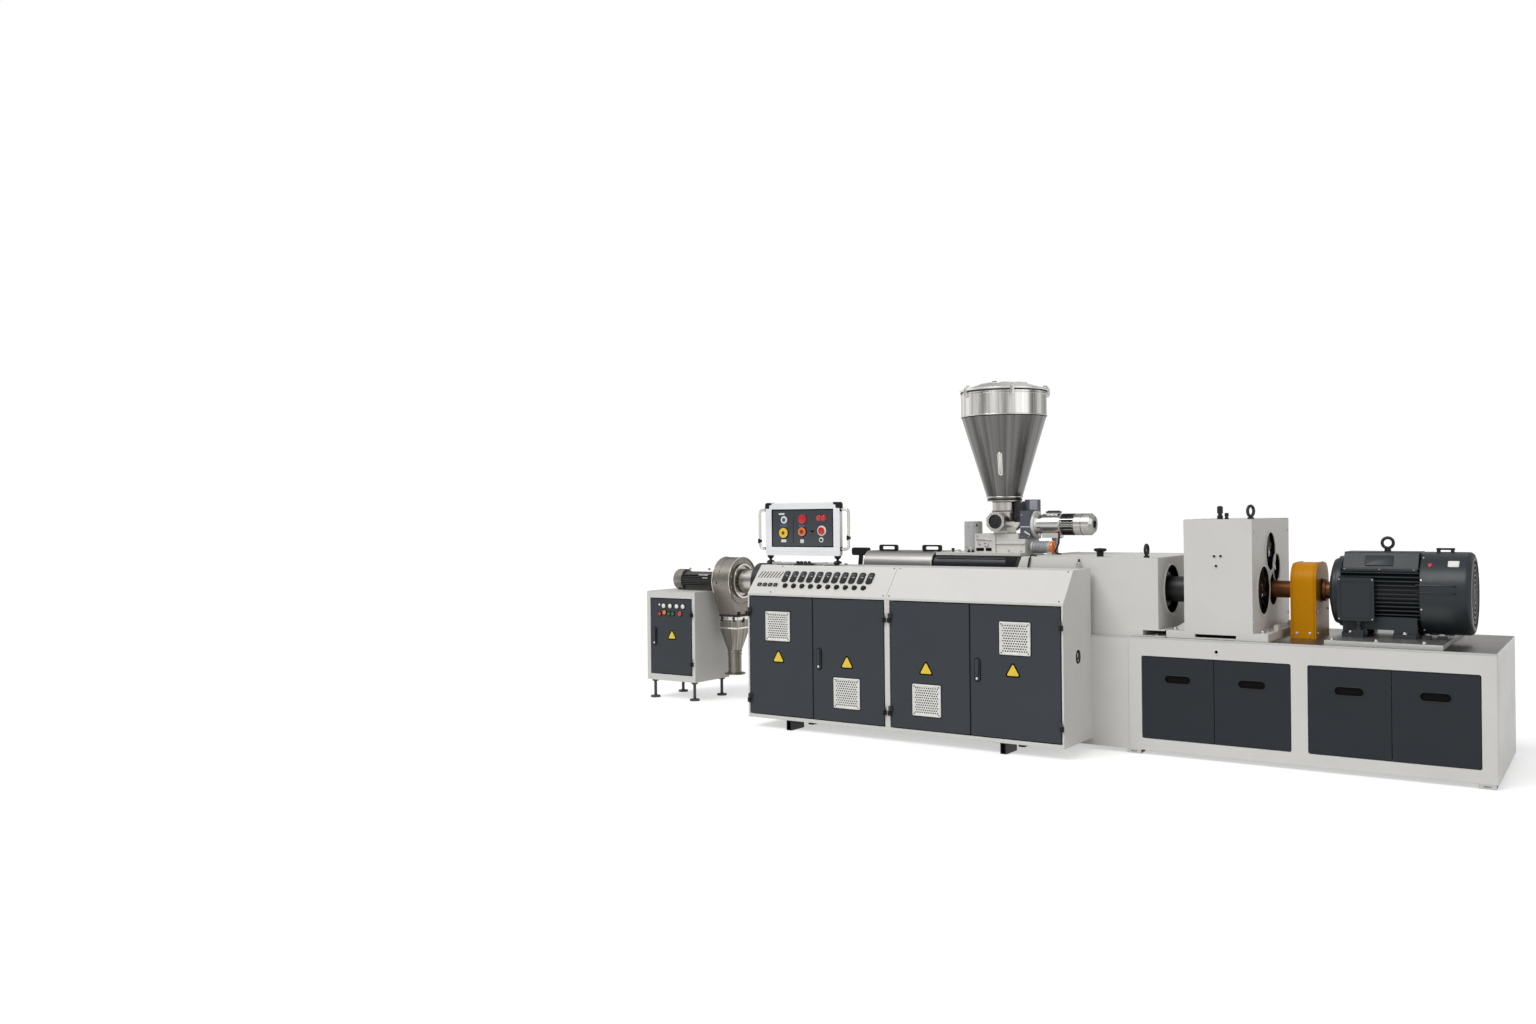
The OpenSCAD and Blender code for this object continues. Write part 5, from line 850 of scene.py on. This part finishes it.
block_front = front(at(0, 0.43, PLATE_TOP))
dark_feet = Piece("feed_block_slots", "gap_black")
for x, w in ((-3.165, 0.058), (-3.1, 0.044)):
    dark_feet.slab(block_front.moved(x, 0.02), rect(w, 0.022, 0.003), -0.001, 0.0015)
block_trim = Piece("feed_block_fittings", "bright_steel")
block_trim.slab(block_front.moved(-3.132, 0.088), rect(0.12, 0.012, 0.003), -0.001, 0.005, 0.0015)
block_trim.lathe(block_front.moved(-3.118, 0.056),
                 [(0.018, -0.001), (0.018, 0.008), (0.014, 0.012), (0.004, 0.013)], 20)
block_trim.lathe(block_front.moved(-3.17, 0.06), [(0.01, -0.001), (0.01, 0.006), (0.002, 0.008)], 16)
block_bolts = bolts("feed_block_bolts", 0.006, [block_front.moved(x, z) for x, z in
                    ((-3.185, 0.115), (-3.06, 0.115), (-2.95, 0.012), (-2.86, 0.012))])
for x in (-3.43, -3.15, -2.9):
    for y in (0.368, 0.732):
        block_bolts.bolt(top(at(x, y, PLATE_TOP)), 0.008)

COLUMN_R, COLUMN_GAP = 0.064, 0.243
column_x = FEEDER_X - COLUMN_GAP
post = Piece("column_fittings", "bright_steel")
for z in (PLATE_TOP + 0.03, PLATE_TOP + 0.18):
    post.ring(top(at(column_x, AXIS_Y, z)), 0.0665, 0.0635, 0, 0.006, 0.002, 48)
spot = Face(at(column_x, AXIS_Y, 1.402) + Vector((0.73, -0.683, 0)) * COLUMN_R, (0.683, 0.73, 0), Z)
Piece("column_hole", "gap_black").slab(spot, disc(0.0065), -0.002, 0.0012)
knob = Piece("plate_knobs", "black_plastic")
knob.lathe(top(at(-3.385, 0.45, PLATE_TOP)),
           [(0.007, -0.001), (0.007, 0.014), (0.012, 0.018), (0.012, 0.026), (0.003, 0.029)], 16)
for x in (-3.245, -3.215):
    knob.lathe(top(at(x, 0.415, PLATE_TOP)),
               [(0.011, -0.001), (0.011, 0.01), (0.006, 0.013), (0.006, 0.02), (0.001, 0.021)], 14)


# Control cabinet

CUTTER_DOOR = "cutter_door"
CONSOLE_LIP, CONSOLE_RUN = 0.014, 0.172
slope_v = Vector((0, CONSOLE_RUN, cons_hi.z - cons_lo.z - CONSOLE_LIP))
slope = Face((cons_lo.x, cons_lo.y, cons_lo.z + CONSOLE_LIP), X, slope_v)
SLOPE_LEN = slope_v.length


def door_front(door):
    return cut_lo.y if door == CUTTER_DOOR else cab_lo.y


SIGNS = {"cabinet_door_1": (-4.279, 0.496, 0.088), "cabinet_door_2": (-3.724, 0.489, 0.088),
         "cabinet_door_3": (-3.132, 0.486, 0.088), "cabinet_door_4": (-2.534, 0.512, 0.088),
         CUTTER_DOOR: (-5.808, 0.515, 0.078)}
for door, (x, z, side) in SIGNS.items():
    spot = front(END_X + x, door_front(door), z)
    Piece("sign_edge_" + door, "gap_black", body=door).slab(
        spot, triangle(side + 0.026, 0.012), -0.0005, 0.0012, 0.0003)
    Piece("sign_" + door, "signal_yellow", body=door).slab(
        spot, triangle(side - 0.004, 0.006), 0.0008, 0.0018, 0.0003)

GRILLE_RIM, DOOR_EDGE = 0.016, 0.0115
for i in range(1, 5):
    door = "cabinet_door_%d" % i
    g_lo, g_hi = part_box("door_grille_%d" % i)
    w, spot = g_hi.x - g_lo.x, front((g_lo.x + g_hi.x) / 2, g_lo.y, (g_lo.z + g_hi.z) / 2)
    shadow = Piece("grille_shade_%d" % i, "gap_black", body=door)
    shadow.slab(spot, rect(w - 2 * GRILLE_RIM, w - 2 * GRILLE_RIM), -0.0032, -0.0022)
    shadow.rim(spot, rect(w + 0.01, w + 0.01, 0.012), rect(w - 0.001, w - 0.001, 0.008), -0.005, -0.0035)
    Piece("grille_frame_%d" % i, "grille_white", body=door).rim(
        spot, rect(w - 0.002, w - 0.002, 0.008), rect(w - 0.026, w - 0.026, 0.004), -0.001, 0.003, 0.0012)
    screws("grille_screws_%d" % i, 0.0045,
           spot.moved(0, 0, 0.0012).corners(w / 2 - 0.013, w / 2 - 0.013), "gap_black", door)
    d_lo, d_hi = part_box(door)
    x0, x1 = (d_lo.x + DOOR_EDGE, d_hi.x) if i in (1, 3) else (d_lo.x, d_hi.x - DOOR_EDGE)
    w, h = x1 - x0, d_hi.z - d_lo.z
    Piece("door_fold_%d" % i, "door_paint", body=door).rim(
        front((x0 + x1) / 2, cab_lo.y, (d_lo.z + d_hi.z) / 2), rect(w - 0.001, h - 0.001, 0.008),
        rect(w - 0.01, h - 0.01, 0.005), -0.001, 0.0012, 0.0009)

LOCK_DROP = 0.053
LOCKS = {"cabinet_door_2": (0.048, 0.511), "cabinet_door_4": (0.048, 0.511), CUTTER_DOOR: (0.04, 0.507)}
for door, (from_edge, z) in LOCKS.items():
    handle = front(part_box(door)[0].x + from_edge, door_front(door), z)
    spot = handle.moved(0, -LOCK_DROP)
    Piece("lock_" + door, "mirror_steel", "bright_steel", door).lathe(
        spot, [(0.0075, 0.011), (0.0075, 0.0135), (0.0055, 0.0145), (0.0048, 0.0125), (0.0005, 0.0125)], 20)
    Piece("lock_slot_" + door, "gap_black", body=door).slab(spot, rect(0.0016, 0.006), 0.012, 0.013)
    Piece("handle_rim_" + door, "gap_black", body=door).rim(
        handle, stadium(0.044, 0.15), stadium(0.033, 0.139), -0.0005, 0.003, 0.001)

grip = right(cab_hi.x, FRONT_Y - 0.229, 0.602)
Piece("side_grip_rim", "pale").rim(grip, stadium(0.086, 0.098), stadium(0.073, 0.085), -0.001, 0.003, 0.001)
Piece("side_grip_edge", "gap_black").rim(
    grip, stadium(0.074, 0.086), stadium(0.0635, 0.0755), -0.001, 0.0045, 0.001)
Piece("side_grip_liner", "gap_black").slab(grip, stadium(0.0635, 0.0755), -0.0036, -0.0022)
key = Piece("side_grip_catch", "zinc")
key.slab(grip.moved(0, 0.008), stadium(0.014, 0.034), -0.0028, 0.0014, 0.001)
key.lathe(grip.moved(0.006, -0.022),
          [(0.008, -0.0028), (0.008, 0.0006), (0.005, 0.0014), (0.001, 0.0014)], 16)

CONTROLLERS, PITCH_X, ROW_DROP = 11, 0.068, 0.105
BUTTONS, BUTTON_PITCH, ROW_LOW = 10, 0.07, 0.072
METERS, METER_PITCH, LOUVRES, LOUVRE_PITCH = 4, 0.045, 8, 0.025
borders, windows = Piece("controller_borders", "pale"), Piece("controller_windows", "glass_dark")
keys, lit = Piece("controller_keys", "black_plastic"), Piece("controller_lamps", "lens_green")
for k in range(CONTROLLERS):
    spot = slope.moved(0.262 + k * PITCH_X, SLOPE_LEN - ROW_DROP)
    borders.rim(spot, rect(0.056, 0.104, 0.021), rect(0.0485, 0.0965, 0.0175), -0.001, 0.003, 0.001)
    windows.slab(spot.moved(0, 0.017), rect(0.034, 0.034, 0.006), 0.0065, 0.0082, 0.0005)
    for du in (-0.01, 0.0, 0.01):
        keys.slab(spot.moved(du, -0.022), rect(0.0075, 0.0065, 0.002), 0.0065, 0.0092, 0.0008)
    lit.slab(spot.moved(-0.01, -0.008), rect(0.004, 0.003, 0.001), 0.0065, 0.0078, 0.0003)
for k in range(BUTTONS):
    spot = slope.moved(0.29 + k * BUTTON_PITCH, ROW_LOW)
    borders.ring(spot, 0.0245, 0.02, -0.001, 0.0035, 0.001)
    keys.slab(spot.turned(35 * (k % 3) - 20), rect(0.0065, 0.026, 0.003), 0.0135, 0.0185, 0.0015)
for k in range(METERS):
    spot = slope.moved(0.07 + k * METER_PITCH, 0.078)
    borders.rim(spot, rect(0.038, 0.034, 0.007), rect(0.0322, 0.0282, 0.005), -0.001, 0.0035, 0.001)
    windows.slab(spot, rect(0.02, 0.017, 0.003), 0.0075, 0.0092, 0.0005)
louvres = Piece("console_louvre_shade", "gap_black")
for k in range(LOUVRES):
    louvres.slab(slope.moved(0.034 + k * LOUVRE_PITCH, SLOPE_LEN - 0.088).turned(72), stadium(0.0615, 0.0085),
                 -0.0118, -0.0022)
screws("console_screws", 0.0045, [slope.moved(x, s) for x in (0.19, 1.09, 1.135, 2.3)
                                  for s in (0.016, SLOPE_LEN - 0.012)], "rubber")

console_top = top(cons_lo.x, cons_lo.y, cons_hi.z)
bracket = Piece("console_bracket", "black_paint")
bracket.slab(console_top.moved(0.348, 0.196), rect(0.142, 0.04, 0.005), -0.001, 0.012, 0.003)
for du in (-0.05, -0.02, 0.012, 0.045):
    bracket.lathe(console_top.moved(0.348 + du, 0.196),
                  [(0.012, 0.01), (0.012, 0.026), (0.008, 0.03), (0.001, 0.031)], 14)
rails = Piece("console_conduits", "bright_steel")
for y in (0.225, 0.246):
    rails.tube([console_top.point(x, y, 0.012) for x in (0.06, 0.31, 0.58)], 0.009)
for x in (0.1, 0.3, 0.5):
    rails.slab(console_top.moved(x, 0.236), rect(0.016, 0.052, 0.004), -0.001, 0.023, 0.003)


# Operator panel

TUBE_REACH, PANEL_D = 0.0715, 0.036
frame_left, frame_right = hmi_lo.x + TUBE_REACH, hmi_hi.x - TUBE_REACH
caps = Piece("panel_corner_caps", "black_plastic")
CORNER = ((0.003, -0.04), (0.003, -0.01), (-0.008, 0.003), (-0.052, 0.003), (-0.052, -0.012),
          (-0.034, -0.016), (-0.03, -0.04))
for x, outline in ((frame_left, [(-u, v) for u, v in reversed(CORNER)]), (frame_right, CORNER)):
    caps.slab(front(x, hmi_lo.y, hmi_hi.z), outline, -PANEL_D - 0.003, 0.003, 0.002)
screen = front(END_X, screen_lo.y, 0)
sw, sh = screen_hi.x - screen_lo.x, screen_hi.z - screen_lo.z
Piece("screen_gasket", "gap_black").rim(
    front((screen_lo.x + screen_hi.x) / 2, screen_lo.y, (screen_lo.z + screen_hi.z) / 2),
    rect(sw, sh), rect(sw - 0.014, sh - 0.014), -0.001, 0.0025, 0.0008)
Piece("screen_divider", "gap_black").slab(screen.moved(-4.312, 1.382), rect(0.0025, 0.194), -0.0005, 0.0008)

# Buttons and lamps of turned layers: their place, and the look, radius and two heights of each layer
LAYERS = {
    "button_badge": (-4.391, 1.452, (("lens_white", 0.027, -0.001, 0.005),
                                     ("lens_blue", 0.015, 0.004, 0.008))),
    "button_yellow": (-4.394, 1.359, (("gap_black", 0.041, -0.001, 0.003),
                                      ("lens_yellow", 0.036, 0.002, 0.01),
                                      ("lens_dark_red", 0.012, 0.009, 0.015))),
    "button_red": (-4.232, 1.456, (("lens_dark_red", 0.036, -0.001, 0.004), ("lens_red", 0.032, 0.003, 0.012),
                                   ("lens_red", 0.014, 0.011, 0.016))),
    "button_orange": (-4.236, 1.367, (("gap_black", 0.037, -0.001, 0.003),
                                      ("lens_orange", 0.032, 0.002, 0.01),
                                      ("lens_dark_red", 0.014, 0.009, 0.015))),
    "button_lens": (-4.072, 1.374, (("lens_white", 0.036, -0.001, 0.005), ("lens_red", 0.026, 0.004, 0.013))),
    "button_small": (-4.076, 1.31, (("lens_white", 0.018, -0.001, 0.005), ("gap_black", 0.01, 0.004, 0.007))),
}
for name, (x, z, layers) in LAYERS.items():
    for n, (look, r, low, high) in enumerate(layers):
        Piece("%s_%d" % (name, n), look, "screen_glass").lathe(
            screen.moved(x, z), [(r, low), (r, high - 0.0015), (r - 0.0015, high), (r * 0.3, high + 0.0006),
                                 (0.0, high + 0.0006)], 28)
pill = screen.moved(-4.074, 1.464)
Piece("button_pill_base", "lens_dark_red").slab(pill, stadium(0.09, 0.05), -0.001, 0.004, 0.001)
pair = Piece("button_pill", "lens_red")
for du in (-0.018, 0.018):
    pair.lathe(pill.moved(du, 0), [(0.017, 0.003), (0.017, 0.009), (0.014, 0.011), (0.0, 0.0116)])
PLATES = {"panel_plates": ("pale", ((-4.395, 1.302, 0.044, 0.02), (-4.412, 1.494, 0.05, 0.012),
                                    (-4.238, 1.3, 0.03, 0.026), (-4.151, 1.371, 0.026, 0.005))),
          "panel_blue_plates": ("lens_blue", ((-4.396, 1.412, 0.06, 0.016), (-4.24, 1.411, 0.05, 0.018)))}
for name, (look, places) in PLATES.items():
    labels = Piece(name, look)
    for x, z, w, h in places:
        labels.slab(screen.moved(x, z), rect(w, h, 0.003), -0.0005, 0.0016, 0.0004)

TUBE_R, TUBE_HOLE_R, TUBE_INSET, TUBE_BEND = 0.0095, 0.0093, 0.048, 0.026
tube_y, low, high = hmi_lo.y + 0.016, hmi_lo.z + TUBE_INSET, hmi_hi.z - TUBE_INSET
tubes = Piece("handle_tubes", "mirror_steel", "aluminium_frame")
for side, edge_x, out_deg in ((-1, frame_left, -180), (1, frame_right, 0)):
    far = edge_x + side * (TUBE_REACH - TUBE_R - TUBE_BEND)
    tubes.tube([(edge_x - side * 0.002, tube_y, low),
                *arc((far, tube_y, low + TUBE_BEND), TUBE_BEND, -90, out_deg, across=X),
                *arc((far, tube_y, high - TUBE_BEND), TUBE_BEND, abs(out_deg), 90, across=X),
                (edge_x - side * 0.002, tube_y, high)], TUBE_R + 0.0004, 16)
clip = Piece("handle_clips", "black_plastic")
for x, z in ((hmi_lo.x + TUBE_R, 1.3), (hmi_hi.x - TUBE_R, 1.325)):
    clip.ring(top(x, tube_y, z), 0.0145, TUBE_HOLE_R, -0.01, 0.01, 0.002, 20)
    clip.slab(front(x, tube_y - 0.012, z), rect(0.012, 0.034, 0.004), -0.002, 0.008, 0.002)
flanges = Piece("handle_flanges", "black_plastic")
for z in (low, high):
    for spot in (left(frame_left, tube_y, z), right(frame_right, tube_y, z)):
        flanges.ring(spot, 0.0155, TUBE_HOLE_R, -0.001, 0.008, 0.002)


# Cutter

cut_face = front(END_X, cut_lo.y, 0)
lamps = Piece("cutter_lamps", "lens_white", body=CUTTER_DOOR)
bezels = Piece("cutter_lamp_rims", "gap_black", body=CUTTER_DOOR)
for x in (-5.89, -5.823, -5.754, -5.69):
    bezels.ring(cut_face.moved(x, 0.756), 0.023, 0.018, -0.0005, 0.004, 0.001, 28)
    lamps.lathe(cut_face.moved(x, 0.756),
                [(0.0185, -0.0005), (0.0185, 0.006), (0.014, 0.01), (0.0, 0.012)], 28)
lamps.lathe(cut_face.moved(-5.936, 0.765),
            [(0.008, -0.0005), (0.008, 0.003), (0.005, 0.005), (0.0, 0.0055)], 16)
for name, places in (("red", ((-5.931, 0.691, 0.015), (-5.722, 0.697, 0.019))),
                     ("orange", ((-5.884, 0.703, 0.018),)),
                     ("green", ((-5.835, 0.695, 0.015), (-5.795, 0.696, 0.015)))):
    knobs = Piece("cutter_buttons_" + name, "lens_" + name, body=CUTTER_DOOR)
    for x, z, r in places:
        bezels.ring(cut_face.moved(x, z), r + 0.005, r - 0.001, -0.0005, 0.004, 0.001)
        knobs.lathe(cut_face.moved(x, z), [(r, -0.0005), (r, 0.007), (r * 0.8, 0.01), (0.0, 0.011)])
Piece("cutter_door_fold", "door_paint", body=CUTTER_DOOR).rim(
    cut_face.moved(-5.817, 0.51), rect(0.418, 0.604, 0.006), rect(0.408, 0.594, 0.004),
    -0.001, 0.0012, 0.0009)
Piece("cutter_case_seam", "grey_top").rim(
    top((cut_lo.x + cut_hi.x) / 2, (cut_lo.y + cut_hi.y) / 2, cut_hi.z),
    rect(0.49, 0.44, 0.004), rect(0.478, 0.428, 0.004), -0.001, 0.002, 0.0008)

CUT_R = 0.084
fan_end = left(cm_lo.x, axis.y, axis.z)
Piece("cutter_motor_cover", "hood_steel", "bright_steel").lathe(
    fan_end, [(0.0835, -0.086), (0.0862, -0.086), (0.0862, -0.012), (0.077, 0.0022), (0.052, 0.0022),
              (0.052, -0.001), (0.07, -0.003), (0.082, -0.014)], 48, closed=True)
fan_bars = Piece("cutter_fan_grille", "bright_steel")
for r in (0.018, 0.03, 0.042):
    fan_bars.ring(fan_end, r + 0.002, r - 0.002, -0.001, 0.002, 0.0006, 32)
for degrees in (0, 60, 120):
    fan_bars.slab(fan_end.turned(degrees), rect(0.104, 0.005, 0.001), -0.001, 0.0018, 0.0005)
trim_line = Piece("cutter_motor_strip", "mirror_steel")
trim_line.slab(front(END_X - 5.655, axis.y - CUT_R, 1.003), rect(0.095, 0.01, 0.003), -0.03, 0.004, 0.001)
trim_line.slab(front(END_X - 5.64, axis.y - CUT_R, 0.978), rect(0.05, 0.008, 0.002), -0.016, 0.003, 0.001)
Piece("cutter_terminal_lid", "motor_paint").slab(
    back(END_X - 5.775, cm_hi.y, 0.96), rect(0.116, 0.092, 0.008), -0.004, 0.006, 0.002)
lug = Piece("cutter_motor_eye", "zinc")
for x in (-5.86, -5.66):
    lug.lathe(top(END_X + x, axis.y, axis.z + CUT_R),
              [(0.009, -0.006), (0.009, 0.004), (0.012, 0.006), (0.012, 0.012), (0.001, 0.014)], 14)

HOOD_R, HOOD_L, HOOD_BOLTS_R, HOOD_BOLTS_FOOT = 0.19, 0.17, 0.16, -0.128
hood_x = END_X - 5.32
drum = right(hood_x, axis.y, axis.z)
edges = Piece("hood_edges", "mirror_steel")
for dx in (0.002, 0.004 - HOOD_L):
    edges.tube(arc((hood_x + dx, axis.y, axis.z), HOOD_R + 0.001, -28, 208, 40), 0.0045, 8)
edges.ring(drum, 0.139, 0.126, 0.012, 0.017, 0.002, 48)
hood_seam = Piece("hood_seam", "gap_black")
hood_seam.tube(arc((hood_x - 0.105, axis.y, axis.z), HOOD_R - 0.0004, 60, 175, 20), 0.0016, 6)
hood_seam.slab(front(hood_x - 0.122, axis.y - HOOD_R, 0.948), rect(0.007, 0.02, 0.003), -0.003, 0.0012)
bolts("hood_bolts", 0.006, [spot for spot in drum.around(12, HOOD_BOLTS_R, 15)
                            if spot.origin.z - axis.z > HOOD_BOLTS_FOOT])

OUTLET, OUTLET_Z, COLLAR_Z, FUNNEL_Z, PIPE_R = 0.17, 0.68, 0.568, 0.39, 0.0385
outlet = top(hood_x - HOOD_L / 2, axis.y, 0)
inner = rect(OUTLET - 0.002, OUTLET - 0.002, 0.002)
Piece("outlet_seal", "rubber").rim(
    outlet.moved(0, 0, OUTLET_Z), rect(OUTLET + 0.012, OUTLET + 0.012, 0.006), inner, -0.007, 0.008, 0.002)
collar = Piece("collar_bands", "mirror_steel")
for z, over, h in ((OUTLET_Z - 0.036, 0.014, 0.026), (COLLAR_Z + 0.004, 0.01, 0.014)):
    collar.rim(outlet.moved(0, 0, z), rect(OUTLET + over, OUTLET + over, 0.005), inner, 0, h, 0.002)
catches = Piece("collar_latches", "black_paint")
collar_front = front(hood_x, axis.y - OUTLET / 2, 0)
for spot in (collar_front.moved(0.024 - OUTLET, 0.652), collar_front.moved(-0.024, 0.652),
             right(hood_x, axis.y - 0.055, 0.69), right(hood_x, axis.y + 0.055, 0.69),
             right(hood_x, axis.y, 0.64)):
    catches.slab(spot, rect(0.018, 0.04, 0.004), -0.001, 0.011, 0.003)
    catches.slab(spot.moved(0, 0.005, 0.01), rect(0.01, 0.018, 0.003), -0.001, 0.006, 0.002)
screws("collar_screws", 0.005, [collar_front.moved(u - OUTLET / 2, 0.657, 0.007) for u in
                                (-0.045, 0.0, 0.045)], "gap_black")

spout_rings, spout_foot = Piece("spout_rings", "hood_steel"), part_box("discharge_spout")[0].z
for z, h in ((FUNNEL_Z - 0.008, 0.012), (FUNNEL_Z - 0.03, 0.008), (spout_foot + 0.012, 0.006)):
    spout_rings.ring(top(spout_axis + Z * z), 0.0595, 0.0535, 0, h, 0.002, 40)
ridges = Piece("funnel_seams", "hood_steel")
for x, y in rect(2, 2):
    corner = spout_axis + Vector((x * OUTLET / 2, y * OUTLET / 2, COLLAR_Z))
    foot = spout_axis + Vector((x * PIPE_R, y * PIPE_R, FUNNEL_Z + 0.002))
    ridges.tube([corner.lerp(foot, 0.02), (corner + foot) / 2, foot], 0.0028, 6)

for piece in Piece.pieces:
    piece.done()


# Floor, lights and camera

def floor_material():
    """Pale floor that shows white to the camera and still takes the object's shadow."""
    g = Graph("floor")
    ray = g.add("ShaderNodeLightPath").outputs
    grain = g.tint((FLOOR_MATTE, FLOOR_MATTE, FLOOR_MATTE, 1), g.spread(g.noise(3.0, 4.0), 0.995, 1.005))
    matte = g.add("ShaderNodeBsdfDiffuse", {"Color": grain}).outputs[0]
    glow = g.add("ShaderNodeEmission", {"Color": WHITE, "Strength": FLOOR_GLOW}).outputs[0]
    shaded = g.add("ShaderNodeBsdfDiffuse", {"Color": (FLOOR_SHADED, FLOOR_SHADED, FLOOR_SHADED, 1)})
    seen = g.add("ShaderNodeAddShader", {0: shaded.outputs[0], 1: glow}).outputs[0]
    straight = g.math("MAXIMUM", ray["Is Camera Ray"], ray["Is Glossy Ray"])
    straight = g.math("MAXIMUM", straight, ray["Is Transmission Ray"])
    both = g.add("ShaderNodeMixShader", {0: straight, 1: matte, 2: seen}).outputs[0]
    g.add("ShaderNodeOutputMaterial", {0: both})
    return g.block


def make_world():
    """White to the camera, soft grey to matte surfaces, and a studio's bands to glossy ones."""
    g = Graph("studio", world=True)

    def light(colour, strength):
        return g.add("ShaderNodeBackground", {0: colour, 1: strength}).outputs[0]

    ray = g.add("ShaderNodeLightPath").outputs
    split = g.add("ShaderNodeSeparateXYZ", {0: g.coords.outputs["Generated"]}).outputs
    turn = g.spread(g.math("ARCTAN2", split[0], split[1]), 0.0, 1.0, (-math.pi, math.pi))
    bands = g.add("ShaderNodeValToRGB", {0: turn})
    ramp = bands.color_ramp
    ramp.interpolation = "EASE"
    while len(ramp.elements) < len(SKY_BANDS):
        ramp.elements.new(0.5)
    for element, (position, level) in zip(ramp.elements, SKY_BANDS):
        element.position = position
        element.color = (level, level, level, 1)
    shine = g.add("ShaderNodeMixShader", {0: ray["Is Glossy Ray"], 1: light(WHITE, SKY_LEVEL),
                                          2: light(bands.outputs[0], 1.0)}).outputs[0]
    seen = g.math("MAXIMUM", ray["Is Camera Ray"], ray["Is Transmission Ray"])
    both = g.add("ShaderNodeMixShader", {0: seen, 1: shine, 2: light(WHITE, 1.0)}).outputs[0]
    g.add("ShaderNodeOutputWorld", {0: both})
    bpy.context.scene.world = g.block


def make_floor(half=FLOOR_HALF):
    mesh = bpy.data.meshes.new("floor")
    mesh.from_pydata([(x, y, 0) for x, y in rect(2 * half, 2 * half)], [], [(0, 1, 2, 3)])
    mesh.materials.append(floor_material())
    floor = new_object("floor", mesh)


def make_lamp(name, direction, strength, softness_deg):
    """A soft sun that shines along the direction."""
    lamp = bpy.data.lights.new(name, "SUN")
    lamp.energy = strength
    lamp.angle = math.radians(softness_deg)
    obj = new_object(name, lamp)
    obj.rotation_mode = "QUATERNION"
    obj.rotation_quaternion = Vector(direction).to_track_quat("-Z", "Y")


def make_camera():
    level_right = Vector((math.cos(YAW), math.sin(YAW), 0))
    ahead = Vector((-math.sin(YAW), math.cos(YAW), 0))
    forward = ahead * math.cos(PITCH) + Z * math.sin(PITCH)
    up = Z * math.cos(PITCH) - ahead * math.sin(PITCH)
    rolled_right = level_right * math.cos(ROLL) + up * math.sin(ROLL)
    rolled_up = up * math.cos(ROLL) - level_right * math.sin(ROLL)
    camera = bpy.data.cameras.new("camera")
    camera.lens = LENS_MM
    camera.sensor_width = SENSOR_MM
    camera.clip_end = 300
    obj = new_object("camera", camera)
    turn = Matrix((rolled_right, rolled_up, -forward)).transposed().to_4x4()
    obj.matrix_world = Matrix.Translation(EYE) @ turn
    bpy.context.scene.camera = obj


make_world()
make_floor()
make_lamp("key", (0.3, 0.8, -1.0), 1.65, 32)
make_lamp("fill", (-0.9, 0.35, -0.35), 0.33, 60)
make_camera()
bpy.context.scene.view_settings.view_transform = "Standard"
